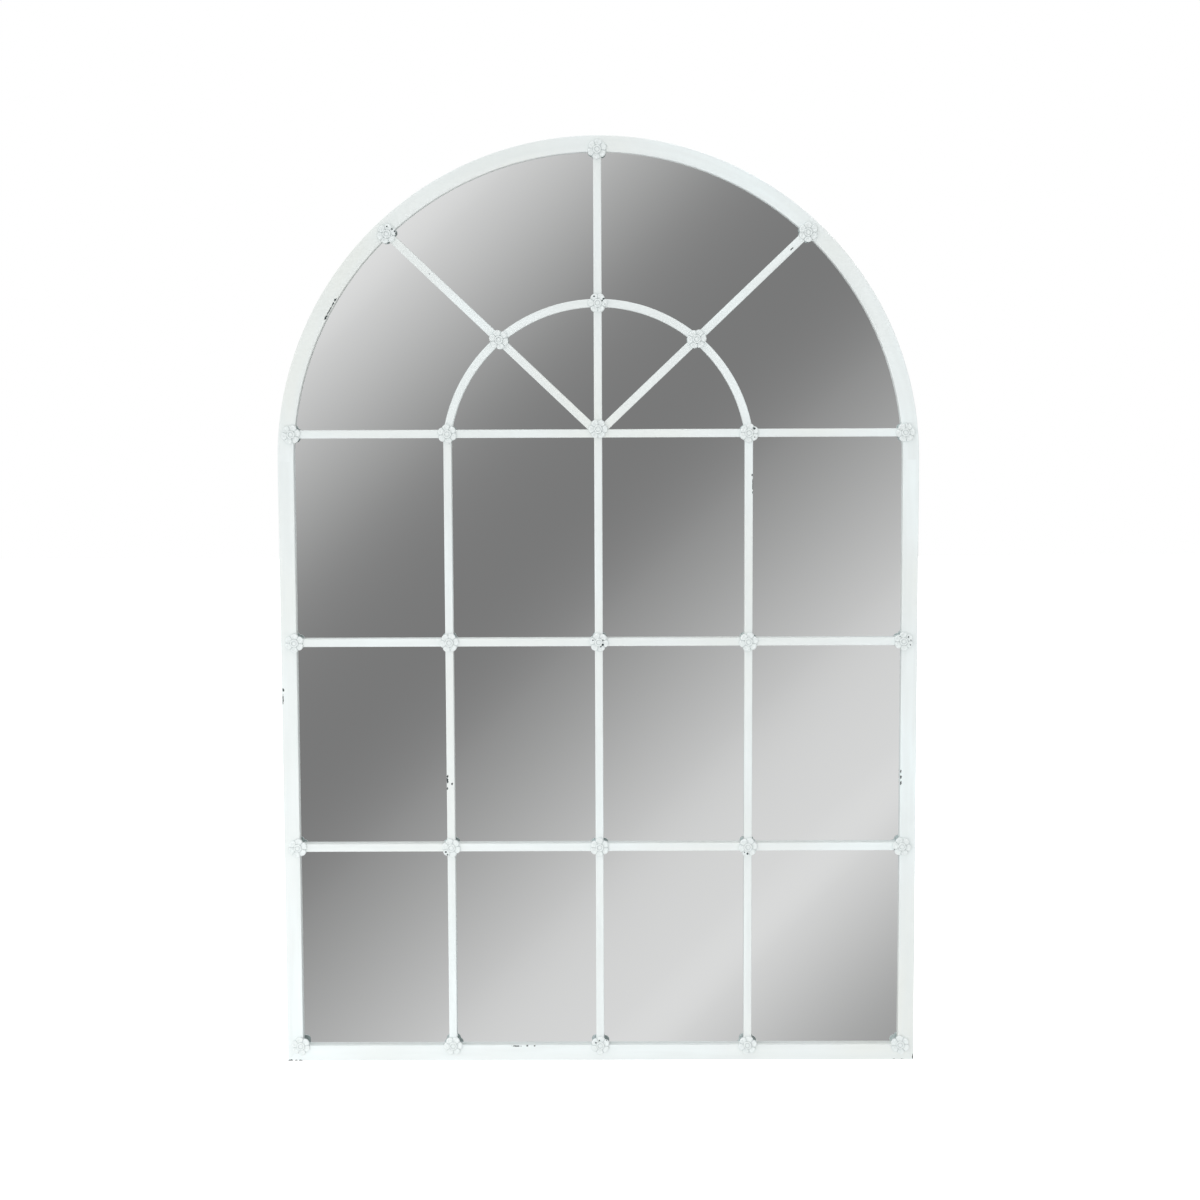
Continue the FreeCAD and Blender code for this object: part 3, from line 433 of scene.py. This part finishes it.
def frame_paint(name, run_of, knocks):
    """Antique white brush paint whose streaks follow one kind of member."""
    finish, tree, shader = new_finish(name)
    run = run_of(tree)
    stretched = add_node(tree, "ShaderNodeVectorMath", {0: run, 1: STREAKS_PER_METRE},
                         operation="MULTIPLY").outputs["Vector"]
    streaks = noise(tree, stretched, 1.0, 1.0)
    place = add_node(tree, "ShaderNodeTexCoord").outputs["Object"]
    clouds = noise(tree, place, 3.4, 2.0)
    peel = noise(tree, place, 110.0, 1.0)
    streak_share = spread(tree, streaks, 0.42, 0.72)
    warm_share = spread(tree, clouds, 0.50, 0.68)
    thick_share = spread(tree, clouds, 0.50, 0.34)
    colour = blend_colours(tree, warm_share, (*PAINT, 1.0), (*PAINT_WARM, 1.0))
    colour = blend_colours(tree, thick_share, colour, (*PAINT_THICK, 1.0))
    colour = blend_colours(tree, maths(tree, "MULTIPLY", streak_share, 0.6), colour,
                           (*PAINT_SHADE, 1.0))

    gone = knock_mask(tree, knocks)
    metal_grain = noise(tree, place, 260.0, 3.0, 0.7)
    metal = blend_colours(tree, metal_grain, (*BARE_METAL, 1.0), (*BARE_METAL_DARK, 1.0))
    colour = blend_colours(tree, gone, colour, metal)

    tree.links.new(colour, shader.inputs["Base Color"])
    tree.links.new(maths(tree, "MULTIPLY", gone, 0.55), shader.inputs["Metallic"])
    shine = spread(tree, streaks, 0.3, 0.7, 0.40, 0.54)
    tree.links.new(shine, shader.inputs["Roughness"])
    relief = maths(tree, "ADD", maths(tree, "MULTIPLY", streaks, 0.7),
                   maths(tree, "MULTIPLY", peel, 0.08))
    relief = maths(tree, "SUBTRACT", relief, maths(tree, "MULTIPLY", gone, 1.5))
    add_bump(tree, shader, relief, 0.25, 0.00018)
    shader.inputs["Specular IOR Level"].default_value = 0.45
    return finish


print("frame paint ready")

# %% [markdown]
# ## Paint the frame
#
# Each member takes the paint whose streaks run its way.  The rear frame shares the finish, since
# it was painted in one go with the front, but no knock reaches that far back.

# %% Give every member its finish
upright = frame_paint("brush_paint_upright", lambda tree: straight_run(tree, math.radians(90)),
                      [k for k in FRAME_KNOCKS if k[4] == 90.0])
across = frame_paint("brush_paint_across", lambda tree: straight_run(tree, 0.0),
                     [k for k in FRAME_KNOCKS if k[4] == 0.0])
round_arch = frame_paint("brush_paint_arch",
                         lambda tree: curved_run(tree, arch_centre, arch_radius),
                         [k for k in FRAME_KNOCKS if k[4] not in (0.0, 90.0)])
round_inner = frame_paint("brush_paint_inner_arch",
                          lambda tree: curved_run(tree, inner_arch_centre, inner_high.x), [
                              (0.0, 1.2050, 0.0030, 0.0008, 0.0)])
spoke_left = frame_paint("brush_paint_left_spoke",
                         lambda tree: straight_run(tree, -math.radians(spoke_lean)), [
                             (-0.260, 1.2470, 0.0012, 0.0005, -spoke_lean)])
spoke_right = frame_paint("brush_paint_right_spoke",
                          lambda tree: straight_run(tree, math.radians(spoke_lean)), [
                              (0.300, 1.2830, 0.0030, 0.0008, spoke_lean)])
FINISH_OF = {
    "outer_arch": round_arch, "rear_arch": round_arch, "inner_arch": round_inner,
    "left_stile": upright, "right_stile": upright, "rear_left_stile": upright,
    "rear_right_stile": upright, "centre_bar": upright, "left_bar": upright,
    "right_bar": upright, "bottom_rail": across, "rear_bottom_rail": across,
    "lower_cross_bar": across, "upper_cross_bar": across, "springline_bar": across,
    "left_spoke": spoke_left, "right_spoke": spoke_right,
}


def dress(node_name, finish):
    """Put one finish on a solid, in place of whatever it came with."""
    mesh = nodes[node_name].data
    mesh.materials.clear()
    mesh.materials.append(finish)


for member, finish in FINISH_OF.items():
    dress(member, finish)
print(len(FINISH_OF), "members painted")

# %% [markdown]
# ## Rosettes
#
# A rosette is a small casting: six cupped petals round a ring with a domed eye, flat at the
# back.  It could be built from spheres and rings, like the solid, but a casting has no sharp
# joins.  So it is sculpted as a height over a disc: the outline is where a ray from the middle
# leaves the furthest petal, and the height is that of the nearest petal, with a groove between
# neighbours, a moat, the ring and the eye.  Each one gets small seeded differences, as
# hand-finished castings have.

# %% Shape of one rosette, in millimetres
PETALS = 6
PETAL_REACH = 8.1
PETAL_RADIUS = 7.1
PETAL_EDGE = 2.9                             # height where the petal starts to roll over
PETAL_SWELL = 1.5                            # rise from there to the middle
ROLL_OVER = 1.2                              # fall from there to the outline
ROLL_START = 0.90                            # share of a petal's radius where the fall starts
CUP_RADIUS, CUP_CORE, CUP_DEPTH = 5.0, 0.8, 2.0
CUP_SHIFT = 0.6                              # the cup lies this far outside the petal's middle
SEAM_DEPTH, SEAM_WIDTH = 1.3, 1.2            # groove between two petals
RING_CIRCLE, RING_RADIUS, RING_BASE = 5.2, 1.2, 3.6
MOAT_HEIGHT = 2.3                            # floor between the petals and the ring
MOAT_OUTER, MOAT_INNER = 7.3, 6.5
PAINTED_SHADE_OUTER, PAINTED_SHADE_INNER = 7.5, 6.6          # the painted shade in the moat starts and is full here
EYE_SHADE_START, EYE_SHADE_FULL = 2.6, 3.9   # and so it does round the eye
EYE_RADIUS, EYE_FLOOR, EYE_RISE = 4.2, 3.0, 0.9
WALL_FOOT = 0.3                              # chamfer at the back
BACK_RING = 4.0                              # inset of a last ring of points on the back
RAYS_ROUND, RINGS = 144, 36
MILLIMETRE = 0.001


def soft_step(low, high, value):
    """0 at low, 1 at high and a smooth rise between them."""
    share = np.clip((value - low) / (high - low), 0.0, 1.0)
    return share * share * (3.0 - 2.0 * share)


def rosette_outline(turn, petal_radii):
    """How far the petals reach at each angle."""
    reach = np.zeros_like(turn)
    for index, radius in enumerate(petal_radii):
        off = turn - index * 2.0 * np.pi / PETALS
        inside = radius ** 2 - (PETAL_REACH * np.sin(off)) ** 2
        hit = (inside > 0) & (np.cos(off) > 0)
        far = PETAL_REACH * np.cos(off) + np.sqrt(np.where(hit, inside, 0.0))
        reach = np.maximum(reach, np.where(hit, far, 0.0))
    return reach


def rosette_height(reach, turn, petal_radii, lifts):
    """Height of the casting's face above its flat back, and its share of painted shade in the
    grooves and hollows.
    """
    shares, petals = [], []
    for index, (radius, lift) in enumerate(zip(petal_radii, lifts)):
        middle = index * 2.0 * np.pi / PETALS
        out = reach * np.cos(turn - middle) - PETAL_REACH
        aside = reach * np.sin(turn - middle)
        share = np.hypot(out, aside) / radius
        dome = PETAL_EDGE + PETAL_SWELL * lift * (1.0 - share ** 2)
        cup = CUP_DEPTH * lift * soft_step(CUP_RADIUS, CUP_CORE, np.hypot(out - CUP_SHIFT, aside))
        shares.append(share)
        petals.append(dome - cup - ROLL_OVER * soft_step(ROLL_START, 1.0, share))
    shares, petals = np.array(shares), np.array(petals)
    nearest = np.argmin(shares, axis=0)
    height = np.take_along_axis(petals, nearest[None], 0)[0]
    ordered = np.sort(shares, axis=0)
    seam = soft_step(SEAM_WIDTH, 0.0, (ordered[1] - ordered[0]) * PETAL_RADIUS)
    moat = soft_step(MOAT_OUTER, MOAT_INNER, reach)
    height = (height - SEAM_DEPTH * seam) * (1.0 - moat) + MOAT_HEIGHT * moat
    ring_rise = RING_RADIUS ** 2 - (reach - RING_CIRCLE) ** 2
    ring = np.where(ring_rise > 0, RING_BASE + np.sqrt(np.clip(ring_rise, 0.0, None)), 0.0)
    eye_share = np.clip(reach / EYE_RADIUS, 0.0, 1.0)
    eye = np.where(reach < EYE_RADIUS,
                   EYE_FLOOR + EYE_RISE * np.sqrt(1.0 - eye_share ** 2), 0.0)
    # Painted shade: the grooves, the moat and the ground round the eye get a grey share, the ring
    # none.
    hollow_shade = np.maximum(seam * (1.0 - moat), 0.7 * soft_step(PAINTED_SHADE_OUTER, PAINTED_SHADE_INNER, reach))
    hollow_shade = np.where(ring > height, 0.0, hollow_shade)
    hollow_shade = np.where(eye > ring, soft_step(EYE_SHADE_START, EYE_SHADE_FULL, reach), hollow_shade)
    return np.maximum.reduce([height, ring, eye]), hollow_shade


print("rosette", 2 * (PETAL_REACH + PETAL_RADIUS), "mm across")

# %% [markdown]
# ## From heights to a closed casting
#
# The disc is divided into rings and rays.  Rings are closer together near the outline, where
# the petals roll over.  Under the outline a short wall goes down to the flat back, so the
# casting is closed, and the mirror behind it can show the underside, with its painted light and
# shade.  The wall takes the full painted shade of the hollows.


# %% Build one casting
def rosette_mesh(name, seed):
    """A closed casting that faces -Y, with its flat back on its own XZ plane."""
    picks = random.Random(seed)
    petal_radii = [PETAL_RADIUS * picks.uniform(0.97, 1.0) for _ in range(PETALS)]
    lifts = [picks.uniform(0.82, 1.0) for _ in range(PETALS)]
    turn = np.arange(RAYS_ROUND) * 2.0 * np.pi / RAYS_ROUND
    outline = rosette_outline(turn, petal_radii)
    shares = np.sin(np.linspace(0.0, np.pi / 2, RINGS + 1))[1:]
    middle, _ = rosette_height(np.zeros(1), np.zeros(1), petal_radii, lifts)
    points, hollow_shades = [(0.0, -float(middle[0]), 0.0)], [0.0]
    for share in shares:
        reach = outline * share
        height, hollow_shade = rosette_height(reach, turn, petal_radii, lifts)
        points += [(float(r * math.cos(a)), -float(h), float(r * math.sin(a)))
                   for r, a, h in zip(reach, turn, height)]
        hollow_shades += [float(h) for h in hollow_shade]
    # The outline wall and the back take the full painted shade.
    for inset, drop in ((0.0, WALL_FOOT), (WALL_FOOT, 0.0), (BACK_RING, 0.0)):
        points += [(float((r - inset) * math.cos(a)), -drop, float((r - inset) * math.sin(a)))
                   for r, a in zip(outline, turn)]
        hollow_shades += [1.0] * RAYS_ROUND
    points.append((0.0, 0.0, 0.0))
    hollow_shades.append(1.0)
    last = len(points) - 1
    faces = [(0, 1 + (i + 1) % RAYS_ROUND, 1 + i) for i in range(RAYS_ROUND)]
    for ring in range(RINGS + 2):
        inner, outer = 1 + ring * RAYS_ROUND, 1 + (ring + 1) * RAYS_ROUND
        for i in range(RAYS_ROUND):
            following = (i + 1) % RAYS_ROUND
            faces.append((inner + i, inner + following, outer + following, outer + i))
    rim = 1 + (RINGS + 2) * RAYS_ROUND
    faces += [(rim + i, rim + (i + 1) % RAYS_ROUND, last) for i in range(RAYS_ROUND)]
    mesh = bpy.data.meshes.new(name)
    mesh.from_pydata([Vector(p) * MILLIMETRE for p in points], [], faces)
    mesh.polygons.foreach_set("use_smooth", [True] * len(mesh.polygons))
    mesh.attributes.new("hollow_shade", "FLOAT", "POINT").data.foreach_set("value", hollow_shades)
    mesh.update()
    return mesh


print("castings have", RAYS_ROUND * (RINGS + 3) + 2, "points each")

# %% [markdown]
# ## Paint on the castings
#
# The castings wear first, since they stand proud.  Their paint is the same white, with a grey
# painted shade in the hollows and on the outline wall, which comes from the attribute that the
# mesh carries.  Pits are a noise that only bites where the surface bulges, plus a few places
# where the photograph shows a real knock.  The underside carries painted light on its left half
# and painted shade on its right half, as light from the left would fall under the petals.

# %% Knocks on single rosettes, as a direction in degrees, a reach and a size in millimetres
ROSETTE_KNOCKS = {
    "rosette_arch_left": ((86, 11.0, 2.4), (39, 11.1, 2.8), (17, 13.2, 3.0), (3, 14.6, 2.6),
                          (-80, 14.0, 2.4)),
    "rosette_inner_arch_top": ((118, 11.4, 2.6), (34, 11.3, 3.2), (26, 8.0, 2.2),
                               (-9, 11.5, 1.6)),
    "rosette_springline_right_bar": ((42, 10.6, 4.2), (-36, 10.7, 1.8)),
    "rosette_springline_right_stile": ((77, 13.6, 1.6),),
    "rosette_upper_centre": ((160, 10.0, 2.2), (-30, 7.2, 4.0), (-65, 7.4, 2.6), (29, 7.4, 2.4)),
    "rosette_upper_right_stile": ((45, 10.0, 2.6), (12, 11.0, 2.0), (-28, 11.6, 2.0),
                                  (129, 10.0, 1.6)),
    "rosette_lower_left_bar": ((216, 10.7, 3.2), (241, 12.1, 2.6)),
    "rosette_lower_right_bar": ((266, 10.2, 3.4), (235, 9.8, 2.0)),
    "rosette_lower_right_stile": ((200, 13.0, 2.2),),
    "rosette_rail_centre": ((146, 8.5, 2.6), (100, 8.8, 2.2), (43, 13.2, 1.6)),
}


CASTING_SHADE = (0.745, 0.795, 0.792)
# The grey of the painted shade in the hollows and on the outline wall.
CASTING_PAINTED_SHADE = (0.400, 0.455, 0.455)
CASTING_KNOCK_DEPTH = 0.0120                 # metres, more than a casting is high
CASTING_RAGGEDNESS = 0.30


def casting_paint(knocks):
    """White paint over a dark casting, flaked where the knocks are."""
    finish, tree, shader = new_finish("brush_paint_casting")
    place = add_node(tree, "ShaderNodeNewGeometry").outputs["Position"]
    mottle = noise(tree, place, 210.0, 3.0, 0.6)
    pits = noise(tree, place, 640.0, 3.0, 0.65)
    shade = spread(tree, mottle, 0.38, 0.70)
    colour = blend_colours(tree, shade, (*PAINT, 1.0), (*CASTING_SHADE, 1.0))
    # Painted shade: grey mixed into the hollows and the outline wall by the mesh's attribute.
    hollow_shade = add_node(tree, "ShaderNodeAttribute", attribute_name="hollow_shade").outputs["Fac"]
    colour = blend_colours(tree, maths(tree, "MULTIPLY", hollow_shade, 0.62), colour,
                           (*CASTING_PAINTED_SHADE, 1.0))
    bulge = add_node(tree, "ShaderNodeNewGeometry").outputs["Pointiness"]
    proud = spread(tree, bulge, 0.50, 0.56)
    pitted = maths(tree, "MULTIPLY", maths(tree, "GREATER_THAN", pits, 0.72), proud)
    gone = maths(tree, "MULTIPLY", pitted, 0.6)
    if knocks:
        gone = maths(tree, "MAXIMUM", gone, knock_mask(
            tree, knocks, CASTING_KNOCK_DEPTH, CASTING_RAGGEDNESS))
    colour = blend_colours(tree, gone, colour, (*BARE_METAL, 1.0))
    tree.links.new(colour, shader.inputs["Base Color"])
    tree.links.new(maths(tree, "MULTIPLY", gone, 0.5), shader.inputs["Metallic"])
    shader.inputs["Roughness"].default_value = 0.50
    shader.inputs["Specular IOR Level"].default_value = 0.45
    relief = maths(tree, "SUBTRACT", maths(tree, "MULTIPLY", mottle, 0.6),
                   maths(tree, "MULTIPLY", gone, 1.2))
    add_bump(tree, shader, relief, 0.5, 0.00025)
    return finish


def underside_light_and_shade():
    """The underside: painted light on one half and painted shade of dark grey metal on the other.
    """
    finish, tree, shader = new_finish("underside_light_and_shade")
    place = add_node(tree, "ShaderNodeNewGeometry").outputs["Position"]
    grain = noise(tree, place, 300.0, 4.0, 0.7)
    metal = blend_colours(tree, grain, (0.280, 0.330, 0.330, 1.0), (0.580, 0.660, 0.660, 1.0))
    # Painted light on the left half of the underside, painted shade of dark metal on the right
    # half.
    light_side = add_node(tree, "ShaderNodeAttribute", attribute_name="painted_light_side").outputs["Fac"]
    ragged_light_side = maths(tree, "ADD", light_side, maths(tree, "MULTIPLY", grain, 0.4))
    light_share = spread(tree, ragged_light_side, 0.60, 0.80)
    colour = blend_colours(tree, light_share, metal, (0.860, 0.950, 0.960, 1.0))
    tree.links.new(colour, shader.inputs["Base Color"])
    shader.inputs["Roughness"].default_value = 0.62
    add_bump(tree, shader, grain, 0.4, 0.0002)
    return finish


print(len(ROSETTE_KNOCKS), "rosettes have knocks")

# %% [markdown]
# ## Set the castings on their crossings
#
# Every casting takes the middle of the solid that it stands for, so it sits on the same
# crossing.  The petals of a rosette are the same on both sides of its middle, so the middle of
# the solid's box is the middle of the flower.  The turn is each rosette's own.

# %% Turn of each rosette, in degrees
TURNS = {
    "rosette_springline_left_stile": 12, "rosette_springline_left_bar": 38, "rosette_hub": 0,
    "rosette_springline_right_bar": 24, "rosette_springline_right_stile": 5,
    "rosette_upper_left_stile": 28, "rosette_upper_left_bar": 8, "rosette_upper_centre": 50,
    "rosette_upper_right_bar": 15, "rosette_upper_right_stile": 33,
    "rosette_lower_left_stile": 20, "rosette_lower_left_bar": 45, "rosette_lower_centre": 30,
    "rosette_lower_right_bar": 10, "rosette_lower_right_stile": 52,
    "rosette_rail_left_stile": 40, "rosette_rail_left_bar": 3, "rosette_rail_centre": 25,
    "rosette_rail_right_bar": 14, "rosette_rail_right_stile": 35,
    "rosette_arch_left": 16, "rosette_arch_right": 30,
    "rosette_inner_arch_left": 44, "rosette_inner_arch_right": 6,
    "rosette_arch_top": 22, "rosette_inner_arch_top": 0,
}

KNOCK_HALF_WIDTH = 0.45                      # of the size that the list gives
LIGHT_SIDE_FADE = 8.0                             # width of the soft edge between the painted light and shade halves, in millimetres
FACE_DEPTH = 0.0002                          # a face less deep than this belongs to the back

underside = underside_light_and_shade()
plain_paint = casting_paint(())
for seed, (node_name, turn) in enumerate(sorted(TURNS.items())):
    low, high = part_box(node_name)
    middle = Vector(((low.x + high.x) / 2, front_y, (low.z + high.z) / 2))
    knocks = [(middle.x + reach * MILLIMETRE * math.cos(math.radians(way)),
               middle.z + reach * MILLIMETRE * math.sin(math.radians(way)),
               size * KNOCK_HALF_WIDTH * MILLIMETRE, size * KNOCK_HALF_WIDTH * MILLIMETRE, 0.0)
              for way, reach, size in ROSETTE_KNOCKS.get(node_name, ())]
    mesh = rosette_mesh(node_name.replace("rosette", "casting"), seed + 1)
    mesh.transform(Matrix.Translation(middle) @ Matrix.Rotation(-math.radians(turn), 4, "Y"))
    mesh.materials.append(casting_paint(knocks) if knocks else plain_paint)
    mesh.materials.append(underside)
    # Painted light on the left of each underside, fading to painted shade on its right.
    sideways = [(middle.x - vertex.co.x) / MILLIMETRE for vertex in mesh.vertices]
    light_side = mesh.attributes.new("painted_light_side", "FLOAT", "POINT")
    light_side.data.foreach_set("value", [min(max(0.5 + left / LIGHT_SIDE_FADE, 0.0), 1.0)
                                         for left in sideways])
    flat_back = front_y - FACE_DEPTH
    for face in mesh.polygons:
        face.material_index = int(all(mesh.vertices[i].co.y > flat_back for i in face.vertices))
    casting = bpy.data.objects.new(mesh.name, mesh)
    bpy.context.scene.collection.objects.link(casting)
    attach(casting, "window_frame")
    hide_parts(node_name)
print(len(TURNS), "castings set")

# %% [markdown]
# ## Mirror glass
#
# A mirror is clear glass with silver on its back.  A slab with a clear front is the obvious way,
# but light that has bounced off a bar gets trapped between the two faces, so every edge by the
# glass goes dark.  Three millimetres of glass only shift a reflection by two pixels, so the front
# face carries the silver here, tinted as it looks through the glass.  It lies a little behind the
# bars, which leaves the thin line that real glass shows under an edge.  The edge is green glass,
# and the back has its protective paint.

# %% Lay the glass
front_gap, back_gap = 0.00040, 0.00015
arc_steps = 128
half_width = glass_high.x
outline = [(-half_width, glass_low.z), (half_width, glass_low.z)]
for step in range(arc_steps + 1):
    angle = math.pi * step / arc_steps
    outline.append((half_width * math.cos(angle), arch_centre.z + half_width * math.sin(angle)))
count = len(outline)
front_plane, back_plane = glass_low.y + front_gap, glass_high.y - back_gap
corners = [(x, front_plane, z) for x, z in outline] + [(x, back_plane, z) for x, z in outline]
faces = [tuple(range(count)), tuple(range(2 * count - 1, count - 1, -1))]
faces += [(i, i + count, (i + 1) % count + count, (i + 1) % count) for i in range(count)]
sheet_mesh = bpy.data.meshes.new("mirror_sheet")
sheet_mesh.from_pydata(corners, [], faces)
sheet_mesh.update()
mirror_sheet = bpy.data.objects.new("mirror_sheet", sheet_mesh)
bpy.context.scene.collection.objects.link(mirror_sheet)
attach(mirror_sheet, "window_frame")
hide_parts("mirror_glass")
print("glass", round(2 * half_width, 3), "m wide,", round(back_plane - front_plane, 4), "m thick")


# %% Silver, glass edge and backing paint
def sheet_finish(name, first, second, roughness, metallic):
    """A smooth finish whose colour drifts slowly between two shades."""
    finish, tree, shader = new_finish(name)
    place = add_node(tree, "ShaderNodeTexCoord").outputs["Object"]
    cloud = noise(tree, place, 2.2, 2.0)
    colour = blend_colours(tree, cloud, (*first, 1.0), (*second, 1.0))
    tree.links.new(colour, shader.inputs["Base Color"])
    film = noise(tree, place, 6.0, 3.0, 0.6)
    haze = spread(tree, film, 0.45, 0.80, *roughness)
    tree.links.new(haze, shader.inputs["Roughness"])
    shader.inputs["Metallic"].default_value = metallic
    return finish


sheet_mesh.materials.append(sheet_finish(
    "silver_behind_glass", (0.905, 0.912, 0.910), (0.892, 0.900, 0.898), (0.0, 0.012), 1.0))
sheet_mesh.materials.append(sheet_finish(
    "mirror_back_paint", (0.230, 0.235, 0.240), (0.260, 0.262, 0.265), (0.45, 0.60), 0.0))
sheet_mesh.materials.append(sheet_finish(
    "glass_edge", (0.110, 0.250, 0.215), (0.160, 0.330, 0.290), (0.10, 0.25), 0.0))
for face in sheet_mesh.polygons:
    face.material_index = min(face.index, 2)
print("glass faces", len(sheet_mesh.polygons))

# %% [markdown]
# ## Backing board
#
# Behind the glass lies a sheet of hardboard, which holds it flat and keeps the silver from
# scratches.  Pressed fibre has short flecks in every direction and a slightly fuzzy face, so
# two noises of different size make its colour, and the finer one its bump.


# %% Hardboard
def hardboard():
    """Pressed fibre with short flecks."""
    finish, tree, shader = new_finish("hardboard")
    place = add_node(tree, "ShaderNodeTexCoord").outputs["Object"]
    bent = add_node(tree, "ShaderNodeTexNoise", {
        "Vector": place, "Scale": 40.0, "Detail": 2.0}).outputs["Color"]
    strayed = add_node(tree, "ShaderNodeMix", data_type="VECTOR")
    strayed.inputs[0].default_value = 0.03
    tree.links.new(place, strayed.inputs[4])
    tree.links.new(bent, strayed.inputs[5])
    flecks = noise(tree, strayed.outputs[1], 330.0, 5.0, 0.75)
    clouds = noise(tree, place, 7.0, 3.0, 0.6)
    fleck_share = spread(tree, flecks, 0.35, 0.68)
    colour = blend_colours(tree, fleck_share, (0.205, 0.118, 0.062, 1.0),
                           (0.360, 0.232, 0.135, 1.0))
    shade = maths(tree, "MULTIPLY", clouds, 0.45)
    colour = blend_colours(tree, shade, colour, (0.255, 0.155, 0.088, 1.0))
    tree.links.new(colour, shader.inputs["Base Color"])
    shader.inputs["Roughness"].default_value = 0.82
    shader.inputs["Specular IOR Level"].default_value = 0.3
    add_bump(tree, shader, flecks, 0.5, 0.0002)
    return finish


dress("backing_board", hardboard())
print("board dressed")

# %% [markdown]
# ## Zinc plated hardware
#
# Screws, turn buttons and hangers are bright zinc: a pale metal with a faint blue and yellow
# cast, cloudy rather than polished, and finely rolled.  A plain metal shader looks like chrome,
# so its colour and roughness both follow a cloudy noise.


# %% Bright zinc
def bright_zinc():
    """Cloudy zinc plate, finely rolled."""
    finish, tree, shader = new_finish("bright_zinc")
    place = add_node(tree, "ShaderNodeTexCoord").outputs["Object"]
    clouds = noise(tree, place, 150.0, 3.0, 0.6)
    rolled_place = add_node(tree, "ShaderNodeVectorMath", {
        0: place, 1: (2600.0, 300.0, 300.0)}, operation="MULTIPLY").outputs["Vector"]
    rolled = noise(tree, rolled_place, 1.0, 2.0)
    colour = blend_colours(tree, clouds, (0.560, 0.575, 0.600, 1.0), (0.700, 0.690, 0.640, 1.0))
    tree.links.new(colour, shader.inputs["Base Color"])
    shader.inputs["Metallic"].default_value = 1.0
    tree.links.new(spread(tree, clouds, 0.3, 0.7, 0.26, 0.44), shader.inputs["Roughness"])
    add_bump(tree, shader, rolled, 0.3, 0.00005)
    return finish


zinc = bright_zinc()
hardware = [name for name in nodes if name.startswith(("turn_button", "hanger_screws"))
            or "hanger_strap" in name or "hanger_ring" in name]
for name in hardware:
    dress(name, zinc)
print(len(hardware), "pieces of hardware")

# %% [markdown]
# ## Rubber bumpers
#
# The bumpers keep the mirror off the wall.  Moulded rubber is dark and dull with a slight
# bloom, so its grey drifts with a soft noise, and a fine grain breaks up the highlight.


# %% Dark rubber
def dark_rubber():
    """Moulded rubber with a slight bloom."""
    finish, tree, shader = new_finish("dark_rubber")
    place = add_node(tree, "ShaderNodeTexCoord").outputs["Object"]
    bloom = noise(tree, place, 120.0, 3.0, 0.6)
    grain = noise(tree, place, 2200.0, 1.0)
    colour = blend_colours(tree, bloom, (0.018, 0.018, 0.019, 1.0), (0.050, 0.050, 0.050, 1.0))
    tree.links.new(colour, shader.inputs["Base Color"])
    shader.inputs["Roughness"].default_value = 0.72
    add_bump(tree, shader, grain, 0.25, 0.0001)
    return finish


dress("wall_bumpers", dark_rubber())
print("bumpers dressed")

# %% [markdown]
# ## The view transform
#
# The picture is shown as it is, with no film look.

# %% Show the picture as it is
bpy.context.scene.view_settings.view_transform = "Standard"
